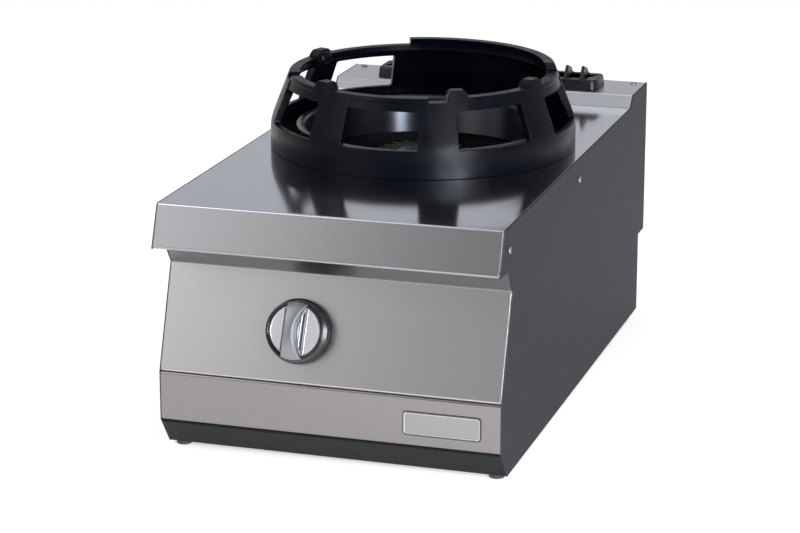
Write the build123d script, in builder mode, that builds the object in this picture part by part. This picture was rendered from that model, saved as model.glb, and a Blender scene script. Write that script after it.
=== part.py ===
from build123d import *
from math import cos, radians, sin
import os

# A countertop gas range with one burner for a wok.
# Millimetres. +X right, +Y to the back, +Z up.
# The origin is the centre of the footprint, on the surface that the feet stand on.

os.makedirs("parts", exist_ok=True)

# ---- sheet metal ----
sheet = 1.5
bend = 2.5  # outer radius of a fold
seam = 0.3  # gap between two folded edges that meet
return_depth = 18.0  # width of the hidden returns behind the front panels

# ---- cabinet ----
cabinet_width = 400.0
cabinet_depth = 730.5
worktop_height = 291.0
foot_height = 5.0
apron_rake = 19.0  # how far the apron leans forward
apron_drop = 48.0
lip_depth = 37.0
lip_fall = 2.0
valley_back = 18.0  # the strip above the control panel runs back and down
valley_drop = 27.0
panel_setback = 14.0  # front panels stand this far behind the apron
panel_foot_height = 96.0
kick_height = 39.0
kick_rake = 25.0
housing_overhang = 31.5  # flue housing steps out behind the back panel
housing_bottom = 107.0
upstand_height = 14.0
upstand_depth = 82.5
upstand_rake = 14.0
back_panel_top = 120.0
worktop_flange = 25.0

# ---- burner and wok ring ----
burner_back = 378.0  # burner axis behind the apron lip
ring_margin = 16.0  # between the ring's base and the cabinet's sides
ring_band_height = 31.0
ring_flare = 23.0  # the rim is this much smaller in radius than the base
ring_rim_height = 90.0
ring_rim_width = 13.0
ring_rim_depth = 7.0
ring_wall = 8.0
ring_foot_depth = 6.0
window_half_angle = 15.0
window_rise = 2.0  # sill above the band
window_drop = 14.5  # head below the rim's top
window_angles = (0.0, 45.0, 90.0, -135.0, -90.0, -45.0)  # from the front, towards the right
rear_wall_start = 107.0
rear_wall_arc = 96.0
rear_wall_height = 98.5
lug_angles = (-31.0, 31.0, 72.5, -107.0)
lug_arc = 9.5
lug_height = 98.0
lug_reach = 22.0  # lug noses inside the rim
notch_angles = (23.0, -64.0)
notch_arc = 8.0
notch_depth = 5.0
ring_clearance = 0.3

collar_inset = 41.0  # inside of the splash collar within the ring's base
collar_height = 26.0  # above the worktop
collar_drop = 20.0  # below the worktop
collar_lip = 10.0
collar_seat_width = 13.0
worktop_hole_clearance = 1.5

bowl_margin = 5.0  # bowl outside the splash collar's inside
bowl_wall = 1.5
bowl_floor_height = 190.0
bowl_flange_width = 12.5
bowl_bend = 12.0

head_height = 262.0  # top of the burner head
head_radius = 56.0
head_bore = 50.0
head_wall_height = 26.0
neck_radius = 22.0
neck_bore = 16.0
elbow_height = 115.0  # axis of the mixing tube
elbow_length = 52.0
cap_radius = 62.0
cap_plate = 4.0
cap_fin_height = 14.0
cap_fin_count = 24
cap_fin_inner = 32.0
cap_fin_thickness = 3.0
cap_fin_slant = 40.0
cap_spigot_depth = 8.0
cap_clearance = 0.3

# ---- gas train ----
tube_wall = 1.5
tube_fit = 0.05
mouth_radius = 26.0
mouth_length = 22.0
mouth_place = 234.5  # front of the bell mouth ahead of the burner axis
mouth_plate = 2.0
shutter_thickness = 2.0
spigot_radius = 9.3
spigot_length = 9.0
running_clearance = 0.05
port_inner = 12.5
port_outer = 22.0
port_arc = 50.0
port_count = 4
holder_radius = 14.0
holder_length = 20.0
holder_inlet = 8.0
injector_length = 12.0
feed_radius = 5.0
feed_bend = 8.0
manifold_radius = 8.0
manifold_bend = 20.0
manifold_x = -100.0
manifold_height = 45.0
inlet_thread_radius = 10.48
inlet_bore = 7.0
inlet_nut_radius = 15.0
inlet_nut_length = 8.0
thread_relief_width = 1.5  # groove in the thread outside the nut
thread_relief_depth = 1.0
inlet_setback = 2.0  # free end ahead of the housing's back
pilot_radius = 3.0
lead_radius = 1.5
small_bend = 12.0
pipe_wall = 1.0
small_pipe_lead = 18.0  # straight run behind the valve
pilot_side = 40.0  # left of the mixing tube
pilot_run_height = 150.0
lead_side = 52.0
lead_run_height = 158.0
crossing_front = 70.0
crossing_back = 20.0
clip_shares = (0.24, 0.43, 0.745, 0.935)  # shares of the run from the apron lip to the gas inlet
shelf_height = 238.0
shelf_margin = 10.0
pilot_tube_radius = 5.0

# ---- knob and valve ----
knob_x = -38.0
knob_up_panel = 59.5  # up the control panel from its foot
knob_skirt_radius = 36.5
knob_face_radius = 33.5
knob_base = 6.0  # gap behind the knob at rest
knob_height = 22.0
knob_plate_radius = 28.5
knob_plate_thickness = 2.0
knob_plate_drop = 3.0  # face of the silver plate below the knob's rim
knob_wall = 2.5
knob_tilt = -4.0
grip_half_width = 7.0
grip_end_half_width = 12.0
grip_rise = 12.0
grip_offset = -2.0
spindle_radius = 4.0
spindle_flat = 3.0
spindle_depth = 40.0
panel_hole_radius = 7.0
bonnet_radius = 13.0
valve_half_width = 15.0
valve_half_height = 18.0
valve_front = 26.0
valve_back = 54.0
plunger_radius = 9.3
plunger_thickness = 4.0
plunger_travel = 3.5
plunger_clearance = 0.2
bonnet_front_wall = 8.0
bonnet_flange = 3.0
valve_screw_spacing = 34.0
small_port_x = 8.0
small_port_y = 6.0
small_port_length = 5.0
hub_radius = 8.0
hub_setback = 1.0
knob_skirt_depth = 2.5
knob_step = 1.0
grip_edge = 1.5
indicator_x = 9.5
indicator_length = 42.0
indicator_width = 2.2

# ---- flue cover ----
cover_length = 298.0
cover_width = 52.0
cover_setback = 11.0  # behind the upstand's front edge
cover_height = 13.0
cover_rim = 9.0
cover_corner = 10.0
fin_pitch = 21.1
fin_thickness = 6.5
fin_count = 13
fin_height = 28.0
fin_overlap = 5.0
slot_inset = 16.0  # flue slot ends inside the cover's ends
cover_tongue = 5.0
tongue_wall = 1.7
cover_draft = 8.0

# ---- small things ----
foot_radius = 9.0
foot_inset = 14.4
foot_setback = 49.25
stud_radius = 3.0
stud_length = 14.0
stud_clearance = 0.2
nut_radius = 5.5
nut_height = 5.0
screw_radius = 2.0
screw_head_radius = 4.2
screw_head_height = 1.8
screw_length = 9.0
side_screw_drop = 26.0  # below the worktop
side_screw_places = (38.5, 357.5)  # behind the apron lip
top_screw_inset = 15.0
top_screw_place = 14.0  # ahead of the housing's back
plate_width = 90.0
plate_height = 28.0
plate_thickness = 1.2
plate_corner = 4.0
plate_rim = 1.5
plate_inset = 68.0  # centre of the plate within the cabinet's right side
plate_centre_height = 65.2
rail_size = 20.0
rail_inset = 30.0
vent_length = 46.0
vent_width = 6.0

# ---- places worked out from the sizes above ----
half_width = cabinet_width / 2
inner_half_width = half_width - sheet
front = -cabinet_depth / 2
back = cabinet_depth / 2
back_face = back - housing_overhang
burner_y = front + burner_back
upstand_top = worktop_height + upstand_height
ring_base_radius = half_width - ring_margin
ring_rim_radius = ring_base_radius - ring_flare
lug_nose_radius = ring_rim_radius - lug_reach
collar_radius = ring_base_radius - collar_inset
bowl_radius = collar_radius + bowl_margin
plate_x = half_width - plate_inset
base_top = foot_height + 2 * sheet

apron_top = (front + apron_rake, worktop_height)
apron_lip = (front, worktop_height - apron_drop)
lip_end = (front + lip_depth, apron_lip[1] - lip_fall)
valley = (lip_end[0] + valley_back, lip_end[1] - valley_drop)
panel_foot = (front + panel_setback, panel_foot_height)
kick_top = (panel_foot[0], kick_height)
kick_foot = (kick_top[0] + kick_rake, foot_height)
upstand_edge = (back - upstand_depth, upstand_top)
upstand_foot = (upstand_edge[0] - upstand_rake, worktop_height)

side_outline = (
    apron_top,
    apron_lip,
    lip_end,
    valley,
    panel_foot,
    kick_top,
    kick_foot,
    (back_face, foot_height),
    (back_face, housing_bottom),
    (back, housing_bottom),
    (back, upstand_top),
    upstand_edge,
    upstand_foot,
)

panel_run = Vector(0, valley[0] - panel_foot[0], valley[1] - panel_foot[1])
panel_up = panel_run.normalized()
panel_out = Vector(0, -panel_up.Z, panel_up.Y)
knob_centre = Vector(knob_x, *panel_foot) + panel_up * knob_up_panel
knob_plane = Plane(origin=knob_centre, x_dir=(1, 0, 0), z_dir=panel_out)

burner_centre = Vector(0, burner_y, 0)
burner_axis = Axis(burner_centre, (0, 0, 1))
burner_profile = Plane(origin=burner_centre, x_dir=(1, 0, 0), z_dir=(0, -1, 0))
tube_axis = Axis((0, 0, elbow_height), (0, 1, 0))
tube_profile = Plane(origin=(0, 0, elbow_height), x_dir=(0, 1, 0), z_dir=(1, 0, 0))
mouth_front = burner_y - mouth_place
hinge_gap = seam
shutter_front = mouth_front - hinge_gap - shutter_thickness
holder_front = shutter_front - hinge_gap - holder_length
foot_places = [
    (side * (half_width - foot_inset), y)
    for side in (-1, 1)
    for y in (front + foot_setback, back_face - foot_setback + panel_setback + kick_rake)
]


def fold(points):
    """The edge of a folded sheet: its outer faces follow points, its metal lies to the left."""
    with BuildSketch() as edge:
        with BuildLine():
            FilletPolyline(*points, radius=bend)
            offset(amount=sheet, side=Side.LEFT)
        make_face()
    return edge.sketch


def outline(points):
    """A flat shape with straight sides."""
    with BuildSketch() as shape:
        with BuildLine():
            Polyline(*points, close=True)
        make_face()
    return shape.sketch


def sector(inner, outer, start, arc):
    """A piece of a flat ring about the burner axis, from the angle start, for the angle arc."""
    with BuildSketch() as shape:
        Circle(outer)
        Circle(inner, mode=Mode.SUBTRACT)
        with BuildLine():
            Polyline(
                (0, 0),
                *[polar(2 * outer, start + arc * step / 2) for step in range(3)],
                close=True,
            )
        make_face(mode=Mode.INTERSECT)
    return shape.sketch


def polar(radius, angle):
    """A point about the burner axis. The angle starts at the front and grows towards the right."""
    return (radius * sin(radians(angle)), -radius * cos(radians(angle)))


def ring_plane(angle):
    """A plane through the burner axis: x outward at the angle, y up from the worktop."""
    x, y = polar(1, angle)
    return Plane(
        origin=burner_centre + Vector(0, 0, worktop_height), x_dir=(x, y, 0), z_dir=(y, -x, 0)
    )


def cone_radius(height):
    """Outer radius of the wok ring at a height above its band."""
    share = (height - ring_band_height) / (ring_rim_height - ring_band_height)
    return ring_base_radius + (ring_rim_radius - ring_base_radius) * share


def save(piece, name):
    piece.part.label = name
    export_step(piece.part, f"parts/{name}.step")


# ---- cabinet: side panels ----
side_screw_height = worktop_height - side_screw_drop
side_screw_points = [(front + place, side_screw_height) for place in side_screw_places]
side_flange_length = back_face - kick_foot[0] - 4 * return_depth

for side, name in ((-1, "side_panel_left"), (1, "side_panel_right")):
    inner_face = side * inner_half_width
    with BuildPart() as side_panel:
        with BuildSketch(Plane.YZ.offset(inner_face)):
            add(outline(side_outline))
            with Locations(*side_screw_points):
                Circle(screw_radius + stud_clearance, mode=Mode.SUBTRACT)
        extrude(amount=side * sheet)
        with Locations(
            (
                side * (inner_half_width - return_depth / 2),
                (kick_foot[0] + back_face) / 2,
                foot_height + sheet / 2,
            )
        ):
            Box(return_depth, side_flange_length, sheet)
    save(side_panel, name)

# ---- cabinet: worktop with its apron, lip and side flanges ----
worktop_hole_radius = collar_radius + sheet + worktop_hole_clearance
worktop_fold = (
    (upstand_foot[0] - seam, worktop_height - worktop_flange),
    (upstand_foot[0] - seam, worktop_height),
    apron_top,
    apron_lip,
    lip_end,
)
flange_top = worktop_height - sheet
flange_foot = side_screw_height - 2 * screw_head_radius
flange_front = front + side_screw_places[0] - 2 * screw_head_radius
flange_back = upstand_foot[0] - seam - sheet

with BuildPart() as worktop:
    with BuildSketch(Plane.YZ):
        add(fold(worktop_fold))
    extrude(amount=inner_half_width, both=True)
    with Locations((0, burner_y, worktop_height)):
        Cylinder(worktop_hole_radius, 4 * sheet, mode=Mode.SUBTRACT)
    for side in (-1, 1):
        with BuildSketch(Plane.YZ.offset(side * inner_half_width)):
            with BuildLine():
                Polyline(
                    (flange_front, flange_top),
                    (flange_front, flange_foot),
                    (flange_back, flange_foot),
                    (flange_back, flange_top),
                    close=True,
                )
            make_face()
            with Locations(*side_screw_points):
                Circle(screw_radius + tube_fit, mode=Mode.SUBTRACT)
        extrude(amount=-side * sheet)
save(worktop, "worktop")

# ---- cabinet: front panels ----
control_fold = (
    (lip_end[0] + seam, lip_end[1] - seam),
    valley,
    panel_foot,
    (panel_foot[0] + return_depth, panel_foot[1]),
)
with BuildPart() as control_panel:
    with BuildSketch(Plane.YZ):
        add(fold(control_fold))
    extrude(amount=inner_half_width, both=True)
    with BuildSketch(knob_plane):
        Circle(panel_hole_radius)
        with GridLocations(valve_screw_spacing, 1, 2, 1):
            Circle(screw_radius + stud_clearance)
    extrude(amount=-2 * sheet, mode=Mode.SUBTRACT)
save(control_panel, "control_panel")

lower_top = panel_foot[1] - seam
lower_fold = (
    (panel_foot[0] + return_depth, lower_top),
    (panel_foot[0], lower_top),
    kick_top,
    (kick_top[0] + return_depth, kick_top[1]),
)
with BuildPart() as lower_front_panel:
    with BuildSketch(Plane.YZ):
        add(fold(lower_fold))
    extrude(amount=inner_half_width, both=True)
save(lower_front_panel, "lower_front_panel")

kick_fold = (
    (kick_top[0] + return_depth, kick_top[1] - seam),
    (kick_top[0], kick_top[1] - seam),
    kick_foot,
    (kick_foot[0] + return_depth, foot_height),
)
front_feet = [place for place in foot_places if place[1] < 0]
rear_feet = [place for place in foot_places if place[1] > 0]
stud_hole = stud_radius + stud_clearance
with BuildPart() as kick_plate:
    with BuildSketch(Plane.YZ):
        add(fold(kick_fold))
    extrude(amount=inner_half_width, both=True)
    with Locations(*[(x, y, foot_height) for x, y in front_feet]):
        Cylinder(stud_hole, 4 * sheet, mode=Mode.SUBTRACT)
save(kick_plate, "kick_plate")

# ---- cabinet: base, back and flue housing ----
base_front = kick_foot[0] + bend
base_back = back_face - bend
with BuildPart() as base_pan:
    with Locations((0, (base_front + base_back) / 2, foot_height + 1.5 * sheet)):
        Box(2 * inner_half_width, base_back - base_front, sheet)
    with BuildSketch(Plane.XY.offset(foot_height + sheet)):
        with Locations(*foot_places):
            Circle(stud_hole)
        with Locations((0, burner_y)):
            with GridLocations(2 * vent_length, 4 * vent_width, 3, 5):
                SlotOverall(vent_length, vent_width)
    extrude(amount=sheet, mode=Mode.SUBTRACT)
save(base_pan, "base_pan")

back_fold = (
    (back_face - return_depth - foot_radius, foot_height),
    (back_face, foot_height),
    (back_face, back_panel_top),
)
with BuildPart() as back_panel:
    with BuildSketch(Plane.YZ):
        add(fold(back_fold))
    extrude(amount=inner_half_width, both=True)
    with Locations(*[(x, y, foot_height) for x, y in rear_feet]):
        Cylinder(stud_hole, 4 * sheet, mode=Mode.SUBTRACT)
    with BuildSketch(Plane.XZ.offset(-back_face)):
        with Locations((manifold_x, manifold_height)):
            Circle(inlet_thread_radius + stud_clearance)
        with Locations((-manifold_x / 2, (foot_height + housing_bottom) / 2)):
            with GridLocations(1.5 * vent_length, 3 * vent_width, 3, 4):
                SlotOverall(vent_length, vent_width)
    extrude(amount=2 * sheet, mode=Mode.SUBTRACT)
save(back_panel, "back_panel")

housing_fold = (
    (back_face + seam, back_panel_top),
    (back_face + seam, housing_bottom),
    (back, housing_bottom),
    (back, upstand_top),
    upstand_edge,
    upstand_foot,
    (upstand_foot[0], worktop_height - worktop_flange),
)
cover_y = upstand_edge[0] + cover_setback + cover_width / 2
slot_length = cover_length - 2 * slot_inset
slot_width = cover_width - 2 * cover_rim
top_screw_points = [
    (side * (half_width - top_screw_inset), back - top_screw_place) for side in (-1, 1)
]
with BuildPart() as flue_housing:
    with BuildSketch(Plane.YZ):
        add(fold(housing_fold))
    extrude(amount=inner_half_width, both=True)
    with BuildSketch(Plane.XY.offset(upstand_top)):
        with Locations((0, cover_y)):
            RectangleRounded(slot_length, slot_width, cover_corner / 2)
        with Locations(*top_screw_points):
            Circle(screw_radius + stud_clearance)
    extrude(amount=-2 * sheet, mode=Mode.SUBTRACT)
save(flue_housing, "flue_housing")

# ---- worktop rails: two channels that stiffen the worktop ----
rail_front = apron_top[0] + rail_size
rail_back = flange_back - rail_size / 2
for side, name in ((-1, "worktop_rail_left"), (1, "worktop_rail_right")):
    with BuildPart() as rail:
        with BuildSketch(Plane.XZ.offset(-rail_back)):
            with Locations((side * (inner_half_width - rail_inset + rail_size / 2), flange_top)):
                Rectangle(rail_size, rail_size, align=(Align.CENTER, Align.MAX))
                with Locations((0, -sheet)):
                    Rectangle(
                        rail_size - 2 * sheet,
                        rail_size,
                        align=(Align.CENTER, Align.MAX),
                        mode=Mode.SUBTRACT,
                    )
        extrude(amount=rail_back - rail_front)
    save(rail, name)

# ---- burner collar: polished ring that stands in the worktop's hole ----
collar_outer = collar_radius + sheet
collar_foot = worktop_height - collar_drop
collar_top = worktop_height + collar_height
collar_seat_radius = collar_outer + collar_seat_width
with BuildPart() as burner_collar:
    with BuildSketch(burner_profile):
        with Locations((collar_radius, collar_foot)):
            Rectangle(sheet, collar_top - collar_foot, align=(Align.MIN, Align.MIN))
        with Locations((collar_radius, collar_top)):
            Rectangle(collar_lip, sheet, align=(Align.MIN, Align.MAX))
        with Locations((collar_radius, worktop_height)):
            Rectangle(sheet + collar_seat_width, sheet, align=(Align.MIN, Align.MIN))
    revolve(axis=burner_axis)
save(burner_collar, "burner_collar")

# ---- burner bowl: black bowl under the worktop, round the burner ----
pilot_place = (74.0, -5.0)  # right of and ahead of the burner axis
thermocouple_place = (82.0, 19.0)
bowl_outer = bowl_radius + bowl_wall
bowl_under = bowl_floor_height - bowl_wall
with BuildPart() as burner_bowl:
    with BuildSketch(burner_profile):
        with BuildLine():
            FilletPolyline(
                (neck_radius + seam, bowl_under),
                (bowl_outer, bowl_under),
                (bowl_outer, flange_top),
                radius=bowl_bend,
            )
            offset(amount=bowl_wall, side=Side.LEFT)
        make_face()
        with Locations((bowl_radius, flange_top)):
            Rectangle(bowl_flange_width + bowl_wall, bowl_wall, align=(Align.MIN, Align.MAX))
    revolve(axis=burner_axis)
    with BuildSketch(Plane.XY.offset(bowl_under)):
        with Locations((pilot_place[0], burner_y + pilot_place[1])):
            Circle(pilot_radius + seam)
        with Locations((thermocouple_place[0], burner_y + thermocouple_place[1])):
            Circle(lead_radius + seam)
    extrude(amount=bowl_wall, mode=Mode.SUBTRACT)
save(burner_bowl, "burner_bowl")

# ---- burner body: cast head, neck and elbow in one piece ----
elbow_bottom = elbow_height - neck_radius
head_shoulder = head_height - head_wall_height
head_foot = bowl_floor_height + neck_radius / 2
elbow_front = burner_y - elbow_length
with BuildPart() as burner_body:
    with BuildSketch(burner_profile):
        with BuildLine():
            Polyline(
                (0, elbow_height),
                (neck_radius, elbow_height),
                (neck_radius, head_foot),
                (head_radius, head_shoulder),
                (head_radius, head_height),
                (0, head_height),
                close=True,
            )
        make_face()
    revolve(axis=burner_axis)
    with BuildSketch(Plane.XZ.offset(-elbow_front)):
        with Locations((0, elbow_height)):
            Circle(neck_radius)
    extrude(amount=-elbow_length)
    with Locations((0, burner_y, elbow_height)):
        Sphere(neck_radius)
    with Locations((0, burner_y, elbow_bottom)):
        Box(2 * neck_radius, 2 * neck_radius, neck_radius, align=(Align.CENTER, Align.CENTER, Align.MIN))
    with BuildSketch(burner_profile):
        with BuildLine():
            Polyline(
                (0, elbow_height),
                (neck_bore, elbow_height),
                (neck_bore, head_foot),
                (head_bore, head_shoulder),
                (head_bore, head_height),
                (0, head_height),
                close=True,
            )
        make_face()
    revolve(axis=burner_axis, mode=Mode.SUBTRACT)
    with BuildSketch(Plane.XZ.offset(-elbow_front)):
        with Locations((0, elbow_height)):
            Circle(neck_bore)
    extrude(amount=-elbow_length, mode=Mode.SUBTRACT)
    with Locations((0, burner_y, elbow_height)):
        Sphere(neck_bore, mode=Mode.SUBTRACT)
save(burner_body, "burner_body")

# ---- burner cap: lift-off cap with a crown of slanted fins ----
with BuildPart() as burner_cap:
    with Locations((0, burner_y, head_height)):
        Cylinder(cap_radius, cap_plate, align=(Align.CENTER, Align.CENTER, Align.MIN))
        Cylinder(
            head_bore - cap_clearance,
            cap_spigot_depth,
            align=(Align.CENTER, Align.CENTER, Align.MAX),
        )
        Cylinder(
            head_bore - 2 * cap_plate,
            cap_spigot_depth,
            align=(Align.CENTER, Align.CENTER, Align.MAX),
            mode=Mode.SUBTRACT,
        )
    with BuildSketch(Plane.XY.offset(head_height + cap_plate)):
        with Locations((0, burner_y)):
            with PolarLocations((cap_fin_inner + cap_radius) / 2, cap_fin_count):
                Rectangle(
                    (cap_radius - cap_fin_inner) / cos(radians(cap_fin_slant)),
                    cap_fin_thickness,
                    rotation=cap_fin_slant,
                )
            Circle(cap_fin_inner + cap_fin_thickness)
            Circle(cap_radius, mode=Mode.INTERSECT)
    extrude(amount=cap_fin_height)
save(burner_cap, "burner_cap")

# ---- wok ring: one casting, lifts off ----
ring_foot_radius = collar_seat_radius + ring_clearance
window_sill = ring_band_height + window_rise
window_head = ring_rim_height - window_drop
rim_foot = ring_rim_height - ring_rim_depth
rim_inner = ring_rim_radius - ring_rim_width
band_inner = ring_base_radius - ring_wall
ring_profile = (
    (ring_foot_radius, 0),
    (ring_base_radius, 0),
    (ring_base_radius, ring_band_height),
    (ring_rim_radius, ring_rim_height),
    (rim_inner, ring_rim_height),
    (rim_inner, rim_foot),
    (cone_radius(rim_foot) - ring_wall, rim_foot - ring_wall),
    (band_inner, ring_band_height),
    (band_inner, ring_foot_depth),
    (ring_foot_radius, ring_foot_depth),
)
rear_wall_profile = (
    (ring_rim_radius, rim_foot),
    (ring_rim_radius, ring_rim_height),
    (cone_radius(rear_wall_height), rear_wall_height),
    (cone_radius(rear_wall_height) - ring_rim_width, rear_wall_height),
    (rim_inner, rim_foot),
)
lug_foot = ring_rim_height - 3 * ring_wall
lug_profile = (
    (cone_radius(lug_foot) - ring_wall / 2, lug_foot),
    (cone_radius(ring_rim_height), ring_rim_height),
    (cone_radius(lug_height), lug_height),
    (rim_inner - seam, lug_height),
    (lug_nose_radius + seam, ring_rim_height),
    (lug_nose_radius, ring_rim_height - 2 * seam),
    (lug_nose_radius, ring_rim_height - ring_wall),
)
ring_base = Plane(burner_centre + Vector(0, 0, worktop_height))
notch_floor = ring_rim_height - notch_depth

with BuildPart() as wok_ring:
    with BuildSketch(ring_plane(0)):
        add(outline(ring_profile))
    revolve(axis=burner_axis)
    with BuildSketch(ring_base.offset(window_sill)):
        for angle in window_angles:
            add(
                sector(
                    rim_inner - ring_wall,
                    ring_base_radius + ring_wall,
                    angle - window_half_angle,
                    2 * window_half_angle,
                )
            )
    extrude(amount=window_head - window_sill, mode=Mode.SUBTRACT)
    with BuildSketch(ring_plane(rear_wall_start)):
        add(outline(rear_wall_profile))
    revolve(axis=burner_axis, revolution_arc=rear_wall_arc)
    for angle in lug_angles:
        with BuildSketch(ring_plane(angle - lug_arc / 2)):
            add(outline(lug_profile))
        revolve(axis=burner_axis, revolution_arc=lug_arc)
    with BuildSketch(ring_base.offset(notch_floor)):
        for angle in notch_angles:
            add(
                sector(
                    rim_inner - ring_wall,
                    ring_base_radius,
                    angle - notch_arc / 2,
                    notch_arc,
                )
            )
    extrude(amount=2 * notch_depth, mode=Mode.SUBTRACT)
save(wok_ring, "wok_ring")

# ---- burner bracket: bridge that carries the burner body ----
bracket_half = 2 * neck_radius
bracket_top = elbow_bottom - sheet
with BuildPart() as burner_bracket:
    with BuildSketch(Plane.XZ.offset(-burner_y)):
        add(
            fold(
                (
                    (-bracket_half - neck_radius, base_top),
                    (-bracket_half, base_top),
                    (-bracket_half, bracket_top),
                    (bracket_half, bracket_top),
                    (bracket_half, base_top),
                    (bracket_half + neck_radius, base_top),
                )
            )
        )
    extrude(amount=neck_radius, both=True)
save(burner_bracket, "burner_bracket")

# ---- mixing tube: draws air and gas in at its bell mouth ----
tube_radius = neck_bore - tube_fit
mouth_back = mouth_front + mouth_length
tube_end = elbow_front + neck_radius
ports = [start * 360 / port_count for start in range(port_count)]
with BuildPart() as mixing_tube:
    with BuildSketch(tube_profile):
        with BuildLine():
            Polyline(
                (tube_end, tube_radius - tube_wall),
                (tube_end, tube_radius),
                (mouth_back, tube_radius),
                (mouth_front + mouth_plate, mouth_radius),
                (mouth_front, mouth_radius),
                (mouth_front, spigot_radius + running_clearance),
                (mouth_front + mouth_plate, spigot_radius + running_clearance),
                (mouth_front + mouth_plate, mouth_radius - tube_wall),
                (mouth_back, tube_radius - tube_wall),
                close=True,
            )
        make_face()
    revolve(axis=tube_axis)
    with BuildSketch(Plane.XZ.offset(-mouth_front)):
        with Locations((0, elbow_height)):
            for start in ports:
                add(sector(port_inner, port_outer, start, port_arc))
    extrude(amount=-mouth_plate, mode=Mode.SUBTRACT)
save(mixing_tube, "mixing_tube")

# ---- air shutter: disc that turns on the holder's spigot and covers the ports ----
with BuildPart() as air_shutter:
    with BuildSketch(Plane.XZ.offset(-shutter_front)):
        with Locations((0, elbow_height)):
            Circle(mouth_radius)
            with Locations((mouth_radius, 0)):
                SlotOverall(mouth_radius, port_outer - port_inner)
            Circle(spigot_radius + running_clearance, mode=Mode.SUBTRACT)
            for start in ports:
                add(sector(port_inner, port_outer, start, port_arc), mode=Mode.SUBTRACT)
    extrude(amount=-shutter_thickness)
save(air_shutter, "air_shutter")

# ---- injector and its holder ----
spigot_end = shutter_front + shutter_thickness + hinge_gap + spigot_length
with BuildPart() as injector_holder:
    with BuildSketch(tube_profile):
        with BuildLine():
            Polyline(
                (holder_front - holder_inlet, feed_radius),
                (holder_front - holder_inlet, holder_inlet),
                (holder_front, holder_inlet),
                (holder_front, holder_radius),
                (holder_front + holder_length, holder_radius),
                (holder_front + holder_length, spigot_radius),
                (spigot_end, spigot_radius),
                (spigot_end, feed_radius),
                close=True,
            )
        make_face()
    revolve(axis=tube_axis)
save(injector_holder, "injector_holder")

with BuildPart() as injector:
    with BuildSketch(Plane.XZ.offset(-spigot_end)):
        with Locations((0, elbow_height)):
            RegularPolygon(holder_inlet, 6)
            Circle(tube_wall / 2, mode=Mode.SUBTRACT)
    extrude(amount=-injector_length / 3)
    with BuildSketch(tube_profile):
        with BuildLine():
            Polyline(
                (spigot_end + injector_length / 3, tube_wall / 2),
                (spigot_end + injector_length / 3, feed_radius),
                (spigot_end + injector_length, feed_radius / 2),
                (spigot_end + injector_length, tube_wall / 2),
                close=True,
            )
        make_face()
    revolve(axis=tube_axis)
save(injector, "injector")

holder_middle = holder_front + holder_length / 2
with BuildPart() as holder_bracket:
    with BuildSketch(Plane.YZ):
        add(
            fold(
                (
                    (holder_middle - holder_length, base_top),
                    (holder_middle, base_top),
                    (holder_middle, elbow_height + holder_radius + holder_inlet),
                )
            )
        )
    extrude(amount=holder_radius + feed_radius, both=True)
    with BuildSketch(Plane.XZ.offset(-holder_middle)):
        with Locations((0, elbow_height)):
            Circle(holder_radius + tube_fit)
    extrude(amount=2 * sheet, mode=Mode.SUBTRACT)
save(holder_bracket, "holder_bracket")

# ---- gas valve behind the control panel ----
port_depth = (valve_front + valve_back) / 2
port_reach = valve_half_width + feed_radius
cavity_front = sheet + bonnet_front_wall
cavity_back = cavity_front + plunger_thickness + plunger_travel + 2 * seam
cavity_radius = plunger_radius + plunger_clearance
spindle_bore = spindle_radius + running_clearance
with BuildPart() as valve_bonnet:
    with BuildSketch(knob_plane.offset(-sheet)):
        SlotOverall(valve_screw_spacing + 4 * screw_radius, 2 * bonnet_radius)
        with GridLocations(valve_screw_spacing, 1, 2, 1):
            Circle(screw_radius + tube_fit, mode=Mode.SUBTRACT)
    extrude(amount=-bonnet_flange)
    with BuildSketch(knob_plane.offset(-sheet)):
        Circle(bonnet_radius)
    extrude(amount=-(valve_front - sheet))
    with BuildSketch(knob_plane.offset(-sheet)):
        Circle(spindle_bore)
    extrude(amount=-valve_front, mode=Mode.SUBTRACT)
    with BuildSketch(knob_plane.offset(-cavity_front)):
        Circle(cavity_radius)
    extrude(amount=-(valve_front - cavity_front), mode=Mode.SUBTRACT)
save(valve_bonnet, "valve_bonnet")

valve_screw_points = [(side * valve_screw_spacing / 2, 0) for side in (-1, 1)]
small_ports = ((small_port_x, small_port_y), (-small_port_x, small_port_y))
port_centre = knob_centre - panel_out * port_depth
with BuildPart() as gas_valve:
    with BuildSketch(knob_plane.offset(-valve_front)):
        RectangleRounded(2 * valve_half_width, 2 * valve_half_height, feed_radius)
    extrude(amount=-(valve_back - valve_front))
    with BuildSketch(knob_plane.offset(-cavity_back)):
        Circle(cavity_radius - tube_fit)
    extrude(amount=-(valve_front - cavity_back))
    with BuildSketch(Plane.YZ.offset(knob_x - port_reach)):
        with Locations((port_centre.Y, port_centre.Z)):
            Circle(manifold_radius + pipe_wall)
    extrude(amount=port_reach)
    with BuildSketch(Plane.YZ.offset(knob_x)):
        with Locations((port_centre.Y, port_centre.Z)):
            Circle(feed_radius + pipe_wall)
    extrude(amount=port_reach)
    with BuildSketch(knob_plane.offset(-valve_back)):
        with Locations(*small_ports):
            Circle(pilot_radius + pipe_wall)
    extrude(amount=-small_port_length)
    with BuildSketch(knob_plane.offset(-cavity_back)):
        Circle(spindle_bore)
    extrude(
        amount=-(spindle_depth + plunger_travel + seam - cavity_back), mode=Mode.SUBTRACT
    )
save(gas_valve, "gas_valve")

# ---- sprung plunger: slides in the bonnet when the knob is pushed ----
plunger_front = cavity_front + running_clearance
with BuildPart() as valve_plunger:
    with BuildSketch(knob_plane.offset(-plunger_front)):
        Circle(plunger_radius)
        Circle(spindle_bore, mode=Mode.SUBTRACT)
    extrude(amount=-plunger_thickness)
save(valve_plunger, "valve_plunger")

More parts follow.
